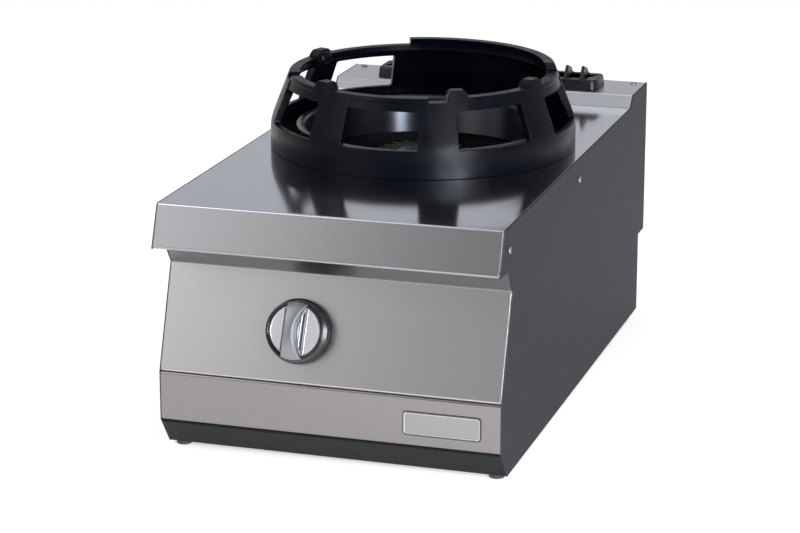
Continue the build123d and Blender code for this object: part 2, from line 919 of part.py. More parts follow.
# ---- knob: body, silver face with its grip, and the spindle it sits on ----
knob_right = Vector(1, 0, 0) * cos(radians(knob_tilt)) + panel_up * sin(radians(knob_tilt))
knob_up = panel_up * cos(radians(knob_tilt)) - Vector(1, 0, 0) * sin(radians(knob_tilt))
turned_plane = Plane(origin=knob_centre, x_dir=knob_right, z_dir=panel_out)
grip_plane = Plane(origin=knob_centre, x_dir=knob_up, z_dir=knob_right)
knob_profile = Plane(origin=knob_centre, x_dir=(1, 0, 0), z_dir=panel_up * -1)
knob_axis = Axis(knob_centre, panel_out)
plate_face = knob_height - knob_plate_drop
recess = plate_face - knob_plate_thickness
spindle_end = recess - 2 * seam

with BuildPart() as valve_spindle:
    with BuildSketch(turned_plane.offset(-spindle_depth)):
        Circle(spindle_radius)
    extrude(amount=spindle_depth + spindle_end)
    with BuildSketch(turned_plane.offset(knob_base + hub_setback)):
        with Locations((0, spindle_flat)):
            Rectangle(
                4 * spindle_radius, spindle_radius, align=(Align.CENTER, Align.MIN)
            )
    extrude(amount=spindle_end, mode=Mode.SUBTRACT)
save(valve_spindle, "valve_spindle")

skirt_top = knob_base + knob_skirt_depth
with BuildPart() as knob_body:
    with BuildSketch(knob_profile):
        with BuildLine():
            Polyline(
                (0, knob_base),
                (knob_skirt_radius, knob_base),
                (knob_skirt_radius, skirt_top),
                (knob_skirt_radius - knob_step, skirt_top + knob_step),
                (knob_face_radius, knob_height - knob_step),
                (knob_face_radius - knob_step, knob_height),
                (knob_plate_radius + tube_fit, knob_height),
                (knob_plate_radius + tube_fit, recess),
                (0, recess),
                close=True,
            )
        make_face()
    revolve(axis=knob_axis)
    with BuildSketch(knob_plane.offset(knob_base)):
        Circle(knob_face_radius - knob_wall)
        Circle(hub_radius, mode=Mode.SUBTRACT)
    extrude(amount=recess - knob_wall - knob_base, mode=Mode.SUBTRACT)
    with BuildSketch(knob_plane.offset(knob_base)):
        Circle(hub_radius)
    extrude(amount=hub_setback, mode=Mode.SUBTRACT)
    with BuildSketch(turned_plane.offset(knob_base)):
        Circle(spindle_radius + tube_fit)
        with Locations((0, spindle_flat + tube_fit)):
            Rectangle(
                4 * spindle_radius,
                spindle_radius,
                align=(Align.CENTER, Align.MIN),
                mode=Mode.SUBTRACT,
            )
    extrude(amount=spindle_end + tube_fit - knob_base, mode=Mode.SUBTRACT)
save(knob_body, "knob_body")

grip_reach = knob_face_radius - knob_step
flare = grip_end_half_width - grip_half_width
waist_radius = (grip_reach**2 + flare**2) / (2 * flare)
with BuildPart() as knob_face:
    with BuildSketch(turned_plane.offset(recess)):
        Circle(knob_plate_radius)
    extrude(amount=knob_plate_thickness)
    with BuildSketch(grip_plane.offset(grip_offset)):
        with BuildLine():
            ThreePointArc(
                (-grip_reach, knob_height + grip_edge),
                (0, knob_height + grip_rise),
                (grip_reach, knob_height + grip_edge),
            )
            Polyline(
                (grip_reach, knob_height + grip_edge),
                (grip_reach, knob_height),
                (-grip_reach, knob_height),
                (-grip_reach, knob_height + grip_edge),
            )
        make_face()
    extrude(amount=grip_end_half_width, both=True)
    with BuildSketch(turned_plane.offset(knob_height)):
        with Locations((grip_offset, 0)):
            with GridLocations(2 * (grip_half_width + waist_radius), 1, 2, 1):
                Circle(waist_radius)
    extrude(amount=2 * grip_rise, mode=Mode.SUBTRACT)
    with BuildSketch(turned_plane.offset(plate_face)):
        with Locations((grip_offset, 0)):
            Rectangle(2 * grip_end_half_width, 2 * knob_plate_radius)
            with GridLocations(2 * (grip_half_width + waist_radius), 1, 2, 1):
                Circle(waist_radius, mode=Mode.SUBTRACT)
        Circle(knob_plate_radius, mode=Mode.INTERSECT)
    extrude(amount=knob_plate_drop)
    with BuildSketch(turned_plane.offset(recess)):
        Circle(knob_face_radius - knob_step / 2)
    extrude(amount=knob_height + grip_rise - recess, mode=Mode.INTERSECT)
    with BuildSketch(turned_plane.offset(plate_face)):
        with Locations((indicator_x, 0)):
            SlotOverall(indicator_length, indicator_width, rotation=90)
    extrude(amount=-knob_plate_thickness / 2, mode=Mode.SUBTRACT)
save(knob_face, "knob_face")

with BuildPart() as valve_screws:
    with BuildSketch(knob_plane):
        with Locations(*valve_screw_points):
            Circle(screw_head_radius)
    extrude(amount=screw_head_height)
    with BuildSketch(knob_plane):
        with Locations(*valve_screw_points):
            Circle(screw_radius)
    extrude(amount=-(sheet + bonnet_flange))
save(valve_screws, "valve_screws")

# ---- gas pipes ----
connector_front = back_face - sheet - inlet_nut_length
feed_route = (
    (knob_x + port_reach, port_centre.Y, port_centre.Z),
    (0, port_centre.Y, port_centre.Z),
    (0, port_centre.Y, elbow_height),
    (0, holder_front - holder_inlet, elbow_height),
)
manifold_route = (
    (knob_x - port_reach, port_centre.Y, port_centre.Z),
    (manifold_x, port_centre.Y, port_centre.Z),
    (manifold_x, port_centre.Y, manifold_height),
    (manifold_x, connector_front, manifold_height),
)
pilot_x = pilot_place[0]
pilot_y = burner_y + pilot_place[1]
thermocouple_x = thermocouple_place[0]
thermocouple_y = burner_y + thermocouple_place[1]
small_port_depth = valve_back + small_port_length
pilot_port = knob_plane.from_local_coords((small_port_x, small_port_y, -small_port_depth))
lead_port = knob_plane.from_local_coords((-small_port_x, small_port_y, -small_port_depth))
shelf_nut_bottom = shelf_height - nut_height
pilot_route = (
    pilot_port,
    pilot_port - panel_out * small_pipe_lead,
    (-pilot_side, mouth_back, pilot_run_height),
    (-pilot_side, elbow_front - crossing_front, pilot_run_height),
    (pilot_x, elbow_front - crossing_back, pilot_run_height),
    (pilot_x, pilot_y, pilot_run_height),
    (pilot_x, pilot_y, shelf_nut_bottom),
)
lead_route = (
    lead_port,
    lead_port - panel_out * small_pipe_lead,
    (-lead_side, mouth_back, lead_run_height),
    (-lead_side, elbow_front - crossing_back, lead_run_height),
    (thermocouple_x, elbow_front, lead_run_height),
    (thermocouple_x, thermocouple_y, lead_run_height),
    (thermocouple_x, thermocouple_y, shelf_nut_bottom),
)
for name, route, radius, wall, corner in (
    ("feed_pipe", feed_route, feed_radius, pipe_wall, feed_bend),
    ("manifold_pipe", manifold_route, manifold_radius, pipe_wall, manifold_bend),
    ("pilot_pipe", pilot_route, pilot_radius, pipe_wall, small_bend),
    ("thermocouple_lead", lead_route, lead_radius, 0, small_bend),
):
    with BuildPart() as pipe:
        with BuildLine() as run:
            FilletPolyline(*route, radius=corner)
        with BuildSketch(run.line ^ 0):
            Circle(radius)
            if wall:
                Circle(radius - wall, mode=Mode.SUBTRACT)
        sweep()
    save(pipe, name)

# ---- gas inlet through the back panel ----
inlet_end = back - inlet_setback
thread_start = back_face + inlet_nut_length + thread_relief_width
with BuildPart() as inlet_connector:
    with BuildSketch(Plane.XZ.offset(-connector_front)):
        with Locations((manifold_x, manifold_height)):
            RegularPolygon(inlet_nut_radius, 6)
    extrude(amount=-inlet_nut_length)
    with BuildSketch(Plane.XZ.offset(-connector_front)):
        with Locations((manifold_x, manifold_height)):
            Circle(inlet_thread_radius)
    extrude(amount=-(inlet_end - connector_front))
    with BuildSketch(Plane.XZ.offset(-thread_start)):
        with Locations((manifold_x, manifold_height)):
            Circle(inlet_thread_radius + thread_relief_depth)
            Circle(inlet_thread_radius - thread_relief_depth, mode=Mode.SUBTRACT)
    extrude(amount=thread_relief_width, mode=Mode.SUBTRACT)
    with BuildSketch(Plane.XZ.offset(-connector_front)):
        with Locations((manifold_x, manifold_height)):
            Circle(inlet_bore)
    extrude(amount=-(inlet_end - connector_front), mode=Mode.SUBTRACT)
save(inlet_connector, "inlet_connector")

with BuildPart() as inlet_nut:
    with BuildSketch(Plane.XZ.offset(-back_face)):
        with Locations((manifold_x, manifold_height)):
            RegularPolygon(inlet_nut_radius, 6)
            Circle(inlet_thread_radius + tube_fit, mode=Mode.SUBTRACT)
    extrude(amount=-inlet_nut_length)
save(inlet_nut, "inlet_nut")

with BuildPart() as pipe_clips:
    for share in clip_shares:
        with BuildSketch(Plane.XZ.offset(-(front + share * (connector_front - front)))):
            with Locations((manifold_x, base_top)):
                Rectangle(
                    3 * manifold_radius,
                    manifold_height - base_top + 1.5 * manifold_radius,
                    align=(Align.CENTER, Align.MIN),
                )
            with Locations((manifold_x, manifold_height)):
                Circle(manifold_radius + tube_fit, mode=Mode.SUBTRACT)
        extrude(amount=manifold_radius)
save(pipe_clips, "pipe_clips")

# ---- pilot and thermocouple on their shelf in the bowl ----
shelf_y = (pilot_y + thermocouple_y) / 2
with BuildPart() as pilot_bracket:
    with BuildSketch(Plane.XZ.offset(-shelf_y)):
        add(
            fold(
                (
                    (pilot_x - shelf_margin, shelf_height),
                    (thermocouple_x + shelf_margin, shelf_height),
                    (thermocouple_x + shelf_margin, bowl_floor_height),
                    (thermocouple_x + 2 * shelf_margin, bowl_floor_height),
                )
            )
        )
    extrude(amount=2 * shelf_margin, both=True)
    with BuildSketch(Plane.XY.offset(shelf_height)):
        with Locations((pilot_x, pilot_y)):
            Circle(pilot_tube_radius + tube_fit)
        with Locations((thermocouple_x, thermocouple_y)):
            Circle(pilot_radius + tube_fit)
    extrude(amount=sheet, mode=Mode.SUBTRACT)
save(pilot_bracket, "pilot_bracket")

with BuildPart() as pilot_burner:
    with Locations((pilot_x, pilot_y, shelf_nut_bottom)):
        Cylinder(nut_radius + 1, nut_height, align=(Align.CENTER, Align.CENTER, Align.MIN))
        Cylinder(
            pilot_tube_radius,
            head_height - shelf_nut_bottom,
            align=(Align.CENTER, Align.CENTER, Align.MIN),
        )
    with Locations((pilot_x, pilot_y, head_height)):
        Cylinder(
            pilot_tube_radius - pipe_wall,
            head_height - shelf_height,
            align=(Align.CENTER, Align.CENTER, Align.MAX),
            mode=Mode.SUBTRACT,
        )
    with Locations((pilot_x - pilot_tube_radius, pilot_y, head_height)):
        Box(
            2 * pilot_tube_radius,
            pilot_tube_radius,
            2 * pilot_tube_radius,
            mode=Mode.SUBTRACT,
        )
save(pilot_burner, "pilot_burner")

with BuildPart() as thermocouple:
    with Locations((thermocouple_x, thermocouple_y, shelf_nut_bottom)):
        Cylinder(nut_radius, nut_height, align=(Align.CENTER, Align.CENTER, Align.MIN))
        Cylinder(
            pilot_radius,
            head_height - shelf_nut_bottom,
            align=(Align.CENTER, Align.CENTER, Align.MIN),
        )
    fillet(thermocouple.edges().group_by(Axis.Z)[-1], radius=pilot_radius / 2)
save(thermocouple, "thermocouple")

# ---- flue cover: cast grille that lies over the flue slot, lifts off ----
opening_length = slot_length - 2 * tongue_wall - 2 * ring_clearance
opening_width = slot_width - 2 * tongue_wall - 2 * ring_clearance
fin_reach = opening_width / 2 + fin_overlap
fin_shape = (
    (-fin_reach, 0),
    (-fin_reach, cover_height),
    (-fin_reach / 2, fin_height),
    (-fin_reach / 5, fin_height),
    (fin_reach / 5, 0.8 * fin_height),
    (fin_reach / 3, 0.6 * fin_height),
    (fin_reach, cover_height),
    (fin_reach, 0),
)
fin_places = [(place - (fin_count - 1) / 2) * fin_pitch for place in range(fin_count)]
cover_base = Plane.XY.offset(upstand_top)
with BuildPart() as flue_cover:
    with BuildSketch(cover_base):
        with Locations((0, cover_y)):
            RectangleRounded(cover_length, cover_width, cover_corner)
    extrude(amount=cover_height, taper=cover_draft)
    with BuildSketch(cover_base):
        with Locations((0, cover_y)):
            RectangleRounded(opening_length, opening_width, cover_corner / 2)
    extrude(amount=cover_height, mode=Mode.SUBTRACT)
    for place in fin_places:
        with BuildSketch(Plane.YZ.offset(place - fin_thickness / 2)):
            with Locations((cover_y, upstand_top)):
                add(outline(fin_shape))
        extrude(amount=fin_thickness)
    with BuildSketch(cover_base):
        with Locations((0, cover_y)):
            RectangleRounded(
                slot_length - 2 * ring_clearance,
                slot_width - 2 * ring_clearance,
                cover_corner / 2 - ring_clearance,
            )
            RectangleRounded(
                opening_length,
                opening_width,
                cover_corner / 2 - tongue_wall,
                mode=Mode.SUBTRACT,
            )
    extrude(amount=-cover_tongue)
save(flue_cover, "flue_cover")

# ---- name plate: bare ----
plate_plane = Plane.XZ.offset(-panel_foot[0])
with BuildPart() as name_plate:
    with BuildSketch(plate_plane):
        with Locations((plate_x, plate_centre_height)):
            RectangleRounded(plate_width, plate_height, plate_corner)
    extrude(amount=plate_thickness)
    with BuildSketch(plate_plane.offset(plate_thickness)):
        with Locations((plate_x, plate_centre_height)):
            RectangleRounded(
                plate_width - 2 * plate_rim,
                plate_height - 2 * plate_rim,
                plate_corner - plate_rim,
            )
    extrude(amount=-plate_thickness / 3, mode=Mode.SUBTRACT)
save(name_plate, "name_plate")

# ---- feet and their nuts ----
foot_names = ("foot_front_left", "foot_rear_left", "foot_front_right", "foot_rear_right")
for name, (x, y) in zip(foot_names, foot_places):
    with BuildPart() as foot:
        with Locations((x, y, 0)):
            Cylinder(foot_radius, foot_height, align=(Align.CENTER, Align.CENTER, Align.MIN))
        chamfer(foot.edges().group_by(Axis.Z)[0], length=foot_height / 5)
        with Locations((x, y, foot_height)):
            Cylinder(stud_radius, stud_length, align=(Align.CENTER, Align.CENTER, Align.MIN))
    save(foot, name)

with BuildPart() as foot_nuts:
    with BuildSketch(Plane.XY.offset(base_top)):
        with Locations(*foot_places):
            RegularPolygon(nut_radius, 6)
            Circle(stud_radius + tube_fit, mode=Mode.SUBTRACT)
    extrude(amount=nut_height)
save(foot_nuts, "foot_nuts")

# ---- visible screws ----
with BuildPart() as side_screws:
    for side in (-1, 1):
        with BuildSketch(Plane.YZ.offset(side * half_width)):
            with Locations(*side_screw_points):
                Circle(screw_head_radius)
        extrude(amount=side * screw_head_height)
        with BuildSketch(Plane.YZ.offset(side * half_width)):
            with Locations(*side_screw_points):
                Circle(screw_radius)
        extrude(amount=-side * screw_length)
    fillet(
        side_screws.edges().filter_by(GeomType.CIRCLE).sort_by(Axis.X)[:1]
        + side_screws.edges().filter_by(GeomType.CIRCLE).sort_by(Axis.X)[-1:],
        radius=screw_head_height / 2,
    )
save(side_screws, "side_screws")

with BuildPart() as upstand_screws:
    with BuildSketch(cover_base):
        with Locations(*top_screw_points):
            Circle(screw_head_radius)
    extrude(amount=screw_head_height)
    with BuildSketch(cover_base):
        with Locations(*top_screw_points):
            Circle(screw_radius)
    extrude(amount=-screw_length)
    fillet(upstand_screws.edges().group_by(Axis.Z)[-1], radius=screw_head_height / 2)
save(upstand_screws, "upstand_screws")
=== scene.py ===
from math import cos, pi, radians, sin, sqrt

import bmesh
import bpy
from mathutils import Matrix, Vector


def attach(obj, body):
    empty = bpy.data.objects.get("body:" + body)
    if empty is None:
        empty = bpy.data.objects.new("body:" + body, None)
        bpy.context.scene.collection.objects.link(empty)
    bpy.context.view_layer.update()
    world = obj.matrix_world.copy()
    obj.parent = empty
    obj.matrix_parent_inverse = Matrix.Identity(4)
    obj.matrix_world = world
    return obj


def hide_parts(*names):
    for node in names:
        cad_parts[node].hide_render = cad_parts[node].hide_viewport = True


# Looks for the countertop wok range. Pieces are sized in millimetres and become metres as they
# are finished. Finishes, lamps and the camera are in metres.

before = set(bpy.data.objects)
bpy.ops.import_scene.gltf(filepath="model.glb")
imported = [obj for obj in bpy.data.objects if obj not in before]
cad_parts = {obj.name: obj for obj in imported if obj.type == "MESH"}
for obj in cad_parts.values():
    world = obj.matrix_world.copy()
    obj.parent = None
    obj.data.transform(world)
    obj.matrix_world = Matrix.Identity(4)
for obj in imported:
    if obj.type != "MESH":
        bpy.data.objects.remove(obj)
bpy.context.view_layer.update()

mm = 0.001
worktop_height = 291.0
upstand_top = 305.0
burner_axis = Vector((0.0, 12.75, 0.0))

# ---- wok ring: radii about the burner, heights above the worktop, degrees from the front ----
ring_step = 1.25
foot_radius = 158.1
foot_depth = 6.0
band_radius = 184.0
band_height = 31.0
band_inner_height = 28.0
crease_half = 10.9
crease_steps = (25.0, 29.0, 33.0, 37.5)
cone_steps = (54.0, 66.0)
rim_radius = 161.0
rim_height = 90.0
rim_inner = 148.0
rim_width = 13.0
rim_foot = 83.0
ring_wall = 8.0
window_sill = 33.0
window_head = 75.5
window_corner = 2.2
window_half = 15.0
window_spans = [(middle - window_half, middle + window_half) for middle in (-135, -90, -45, 0, 45, 90)]
notch_floor = 85.0
notch_spans = ((-68.0, -60.0), (19.0, 27.0))
rear_wall_height = 98.5
rear_wall_span = (107.0, 203.0)
recess_spans = (
    (-150.0, -120.0), (-102.25, -75.0), (-60.0, -35.75), (-15.0, 15.0), (35.75, 60.0), (77.25, 105.0),
)
post_relief = 1.5
lug_shoulder = 94.0
lug_height = 98.0
lug_spans = ((-111.75, -102.25), (-35.75, -26.25), (27.0, 35.75), (67.75, 77.25))
lug_slack = 0.1
shoulder_share = 0.9
crest_share = 0.64
# a height on the lug's inside face, then the radius and height that the nose has there
lug_nose = {
    lug_height: (147.5, 97.8),
    lug_shoulder: (142.6, 95.2),
    rim_height: (140.0, 91.6),
    notch_floor: (139.0, 87.2),
    rim_foot: (139.4, 83.6),
    window_head: (150.5, 76.3),
}
nose_rounding = 0.45
nose_narrowing = 0.12

# ---- flue cover: places from its centre, on the upstand's top ----
cover_centre = Vector((0.0, 319.75, upstand_top))
cover_frame = (  # length, width, corner and height of each loop round the frame
    (298.0, 52.0, 10.0, 0.0),
    (296.2, 50.2, 9.4, 9.5),
    (294.6, 48.6, 8.8, 12.2),
    (292.6, 46.6, 8.0, 13.0),
    (263.6, 31.6, 5.6, 13.0),
    (262.4, 30.4, 5.0, 12.2),
    (262.0, 30.0, 4.0, 4.0),
    (262.0, 30.0, 4.0, -5.0),
    (265.4, 33.4, 4.7, -5.0),
    (265.4, 33.4, 4.7, 0.0),
)
fin_outline = (
    (-20, 0.5), (-20, 13), (-10, 28), (-8, 28), (-1, 25), (7, 23.5), (14, 17.5), (20, 13), (20, 0.5),
)
fin_pitch = 21.1
fin_count = 13
fin_thickness = 5.2
fin_taper_start = 14.0
fin_crest_share = 0.72

# ---- splash collar and burner cap: radii about the burner, heights above the feet ----
collar_bore = ((143.0, 271.0), (143.0, 311.5))
collar_lip_centre = (146.8, 313.2)
collar_lip_radius = 3.8
collar_lip_inner = 2.3
collar_edge = (
    (150.6, 317.0), (152.2, 316.9), (153.0, 316.2), (152.4, 315.5), (150.6, 315.5), (147.2, 315.5),
)
collar_seat = (
    (144.5, 294.0), (145.2, 292.7), (147.0, 292.5), (157.0, 292.5), (157.5, 291.9), (157.5, 291.0),
    (144.5, 291.0), (144.5, 271.0),
)
cap_section = (
    (0.5, 280.0), (20.0, 280.4), (32.0, 280.0), (34.0, 279.4), (35.0, 278.0), (35.6, 268.0), (37.0, 266.2),
    (60.0, 266.0), (61.4, 265.6), (62.0, 264.6), (62.0, 263.0), (61.4, 262.0), (49.7, 262.0), (49.7, 254.2),
    (49.4, 254.0), (42.0, 254.0), (42.0, 262.0), (0.5, 262.0),
)
cap_fin_count = 24
cap_fin_size = (34.0, 3.0, 14.6)
cap_fin_taper = (0.96, 0.8, 1.0)
cap_fin_slant = radians(40.0)
cap_fin_radius = 46.6
cap_fin_middle = 272.6

# ---- knob: x to its right, y up its face, z out of the panel ----
panel_lean = Vector((0.0, 0.32821, 0.944605))
panel_out = Vector((0.0, -0.944605, 0.32821))
knob_centre = Vector((-38.0, -331.721, 152.204))
knob_tilt = radians(2.3)
knob_right = Vector((1, 0, 0)) * cos(knob_tilt) - panel_lean * sin(knob_tilt)
knob_up = panel_lean * cos(knob_tilt) + Vector((1, 0, 0)) * sin(knob_tilt)
knob_section = (  # radius and distance from the panel
    (4.2, 7.2), (8.0, 7.2), (8.0, 6.2), (8.4, 6.0), (35.6, 6.0), (36.2, 6.3), (36.5, 6.9),
    (36.5, 8.0), (36.2, 8.6), (35.4, 9.0), (34.9, 9.6), (34.6, 10.6), (33.7, 20.2), (33.4, 21.2),
    (32.8, 21.8), (32.0, 22.0), (31.4, 22.0), (30.6, 21.7), (30.1, 21.1), (29.9, 20.2), (29.7, 17.2),
    (4.2, 17.2),
)
knob_plate_back = 17.2
knob_plate_face = 19.0
knob_plate_steps = ((1.4, 29.6), (0.4, 29.1), (0.0, 27.724))  # rise and radius of each step of its edge
grip_reach = 32.6
grip_left = (9.1, 11.4)
grip_right = (1.4, 13.3)
grip_flank = 2.2
grip_crest = 33.3
grip_rise = 10.0
grip_crown = 0.7
grip_sink = 0.4
line_x = 8.7
line_gap = 3.2
line_width = 2.2
line_lengths = (41.0, 52.0)
line_corner_share = 0.45
line_lift = 0.05
lip_steps = (  # width, shortening, corner and height over the plate of a lip's foot and crest
    (1.5, 0.0, 0.6, -0.2),
    (0.8, 0.8, 0.3, 0.8),
)
shadow_line_x = -13.9
shadow_line_width = 1.5
shadow_line_length = 48.0

# ---- name plate and screws: a screw's turn is in radians ----
plate_centre = Vector((132.0, -351.25, 65.2))
plate_length = 90.0
plate_height = 28.0
plate_steps = (  # inset, corner and rise of each step from the back to the field
    (0.0, 4.0, 0.0),
    (0.0, 4.0, 0.9),
    (0.3, 3.7, 1.2),
    (1.5, 2.9, 1.2),
    (1.7, 2.7, 0.95),
    (2.6, 2.3, 0.95),
    (2.8, 2.2, 0.7),
)
screw_steps = ((0.7, 4.2), (0.5, 3.8), (0.35, 3.1), (0.2, 2.1))  # rise and radius of each step of the head
recess_half = 0.45
recess_depth = 0.9
side_screw_x = 200.0
side_screw_rows = (-326.75, -7.75)
side_screw_z = 265.0
side_screw_turn = 0.6
upstand_screw_x = 185.0
upstand_screw_y = 351.25
upstand_screw_turn = 0.4


# ---------------------------------------------------------------- finishes

fold_softness = 0.0011  # radius at which a sharp fold looks rounded
strip_foot = 0.2135  # painted shade: the strip over the control panel, which faces down, is coloured darker above this
polish_foot = 0.2895  # the worktop is polished above this and satin on its fold below
grain_along = 7.0  # spots of noise per metre
grain_across = 900.0
cloud_along = 3.0
cloud_across = 26.0


def start_finish(name):
    finish = bpy.data.materials.new(name)
    finish.use_nodes = True
    return finish, finish.node_tree, finish.node_tree.nodes["Principled BSDF"]


def feed(tree, socket, source):
    """Give a socket a number, a colour or what another socket gives."""
    if isinstance(source, bpy.types.NodeSocket):
        tree.links.new(source, socket)
    elif isinstance(source, tuple):
        socket.default_value = (*source, 1)
    else:
        socket.default_value = source


def worked_out(tree, operation, *terms):
    """What a Math node makes of its terms."""
    step = tree.nodes.new("ShaderNodeMath")
    step.operation = operation
    for socket, term in zip(step.inputs, terms):
        feed(tree, socket, term)
    return step.outputs[0]


def mixed(tree, factor, low, high, kind="RGBA"):
    """From low at factor 0 to high at factor 1."""
    mix = tree.nodes.new("ShaderNodeMix")
    mix.data_type = kind
    feed(tree, mix.inputs["A"], low)
    feed(tree, mix.inputs["B"], high)
    feed(tree, mix.inputs["Factor"], factor)
    return mix.outputs["Result"]


def object_place(tree, stretch=(1.0, 1.0, 1.0)):
    """Object coordinates, scaled along each axis."""
    place = tree.nodes.new("ShaderNodeTexCoord")
    spread = tree.nodes.new("ShaderNodeMapping")
    spread.inputs["Scale"].default_value = stretch
    tree.links.new(place.outputs["Object"], spread.inputs["Vector"])
    return spread.outputs["Vector"]


def noise_from(tree, place, scale=1.0, detail=2.0, roughness=0.5):
    grain = tree.nodes.new("ShaderNodeTexNoise")
    feed(tree, grain.inputs["Scale"], scale)
    feed(tree, grain.inputs["Detail"], detail)
    feed(tree, grain.inputs["Roughness"], roughness)
    feed(tree, grain.inputs["Vector"], place)
    return grain.outputs["Fac"]


def spread_between(tree, noise, low, high):
    """Turn noise, which is mostly 0.3 to 0.7, into a number from low to high."""
    span = tree.nodes.new("ShaderNodeMapRange")
    feed(tree, span.inputs["From Min"], 0.3)
    feed(tree, span.inputs["From Max"], 0.7)
    feed(tree, span.inputs["To Min"], low)
    feed(tree, span.inputs["To Max"], high)
    feed(tree, span.inputs["Value"], noise)
    return span.outputs["Result"]


def zone(tree, source, axis, place):
    """1 where an object coordinate, or the size of a normal's part, is above the place; 0 elsewhere."""
    where = tree.nodes.new("ShaderNodeTexCoord")
    split = tree.nodes.new("ShaderNodeSeparateXYZ")
    tree.links.new(where.outputs[source], split.inputs[0])
    part = split.outputs[axis]
    if source == "Normal":
        part = worked_out(tree, "ABSOLUTE", part)
    return worked_out(tree, "GREATER_THAN", part, place)


def bump_from(tree, height, strength, distance, onto, edge=0.0):
    """Bump from a height; an edge radius also softens the look of sharp folds."""
    bump = tree.nodes.new("ShaderNodeBump")
    if edge:
        rounded = tree.nodes.new("ShaderNodeBevel")
        rounded.samples = 4
        feed(tree, rounded.inputs["Radius"], edge)
        feed(tree, bump.inputs["Normal"], rounded.outputs["Normal"])
    feed(tree, bump.inputs["Strength"], strength)
    feed(tree, bump.inputs["Distance"], distance)
    feed(tree, bump.inputs["Height"], height)
    feed(tree, onto.inputs["Normal"], bump.outputs["Normal"])


def brushed_sheet(
    name, along, dark, light, smooth, rough,
    bump=0.1, stretch=0.0, painted_shade=None, rim_tint=1.0, fold=fold_softness,
):
    """Stainless sheet with a long grain along one or two axes; painted_shade names a zone and the darker
    colour painted there as shade.
    """
    finish, tree, shader = start_finish(name)
    fine = [grain_along if axis in along else grain_across for axis in "xyz"]
    broad = [cloud_along if axis in along else cloud_across for axis in "xyz"]
    grain = noise_from(tree, object_place(tree, fine), detail=3.0, roughness=0.6)
    cloud = noise_from(tree, object_place(tree, broad))
    blend = worked_out(tree, "MULTIPLY_ADD", grain, 0.5, worked_out(tree, "MULTIPLY", cloud, 0.5))
    tint = mixed(tree, blend, dark, light)
    # painted shade: inside the zone the sheet is coloured darker, standing in for shade
    if painted_shade:
        source, axis, place, colour = painted_shade
        tint = mixed(tree, zone(tree, source, axis, place), tint, colour)
    feed(tree, shader.inputs["Base Color"], tint)
    feed(tree, shader.inputs["Roughness"], spread_between(tree, grain, smooth, rough))
    feed(tree, shader.inputs["Metallic"], 1.0)
    feed(tree, shader.inputs["Anisotropic"], stretch)
    feed(tree, shader.inputs["Anisotropic Rotation"], 0.25)
    feed(tree, shader.inputs["Specular Tint"], (rim_tint, rim_tint, rim_tint))
    bump_from(tree, grain, bump, 0.0002, shader, fold)
    return finish


def polished_sheet(name, dark, light, smooth, rough, top, satin, fold_colour):
    """Polished stainless with faint smears; its fold below the top is satin and darker."""
    finish, tree, shader = start_finish(name)
    smear = noise_from(tree, object_place(tree, (5.0, 9.0, 9.0)), detail=3.0, roughness=0.6)
    grain = noise_from(tree, object_place(tree, (12.0, 1400.0, 1400.0)))
    on_top = zone(tree, "Object", "Z", top)
    tint = mixed(tree, on_top, fold_colour, mixed(tree, smear, dark, light))
    gloss = mixed(tree, on_top, satin, spread_between(tree, smear, smooth, rough), "FLOAT")
    feed(tree, shader.inputs["Base Color"], tint)
    feed(tree, shader.inputs["Roughness"], gloss)
    feed(tree, shader.inputs["Metallic"], 1.0)
    bump_from(tree, grain, 0.03, 0.0001, shader, fold_softness)
    return finish


def cast_surface(name, dark, light, smooth, rough, pit, specular=0.5, metallic=0.0):
    """Sand-cast surface: fine pits, broader waves and a soft gloss that varies."""
    finish, tree, shader = start_finish(name)
    place = object_place(tree)
    pits = noise_from(tree, place, 900.0, 3.0, 0.6)
    waves = noise_from(tree, place, 60.0, 3.0)
    relief = worked_out(tree, "MULTIPLY_ADD", pits, 0.6, waves)
    feed(tree, shader.inputs["Base Color"], mixed(tree, waves, dark, light))
    feed(tree, shader.inputs["Roughness"], spread_between(tree, waves, smooth, rough))
    feed(tree, shader.inputs["Metallic"], metallic)
    feed(tree, shader.inputs["Specular IOR Level"], specular)
    bump_from(tree, relief, pit, 0.0004, shader)
    return finish


def even_surface(name, dark, light, smooth, rough, metallic=0.0, bump=0.08, specular=0.5):
    """Moulded, coated, drawn or turned surface with a fine even texture."""
    finish, tree, shader = start_finish(name)
    place = object_place(tree)
    fine = noise_from(tree, place, 700.0)
    broad = noise_from(tree, place, 40.0)
    feed(tree, shader.inputs["Base Color"], mixed(tree, broad, dark, light))
    feed(tree, shader.inputs["Roughness"], spread_between(tree, fine, smooth, rough))
    feed(tree, shader.inputs["Metallic"], metallic)
    feed(tree, shader.inputs["Specular IOR Level"], specular)
    bump_from(tree, fine, bump, 0.0002, shader)
    return finish


worktop_finish = polished_sheet(
    "worktop_polish", (0.545, 0.56, 0.625), (0.605, 0.625, 0.69), 0.1, 0.15,
    top=polish_foot, satin=0.27, fold_colour=(0.375, 0.37, 0.385),
)
collar_finish = brushed_sheet(
    "collar_brush", "xy", (0.125, 0.135, 0.165), (0.18, 0.19, 0.22), 0.27, 0.32, bump=0.08, stretch=0.95
)
# the control panel's strip above strip_foot gets a darker colour as painted shade
front_finish = brushed_sheet(
    "front_brush", "x", (0.49, 0.48, 0.477), (0.53, 0.52, 0.516), 0.29, 0.32, bump=0.006,
    painted_shade=("Object", "Z", strip_foot, (0.17, 0.165, 0.165)),
)
# painted shade: the lower front is the same brushed steel as the control panel, coloured about half as
# bright
lower_shade_finish = brushed_sheet(
    "lower_brush_painted_shade", "x", (0.242, 0.224, 0.225), (0.274, 0.255, 0.256), 0.26, 0.3, bump=0.03, fold=0.0
)
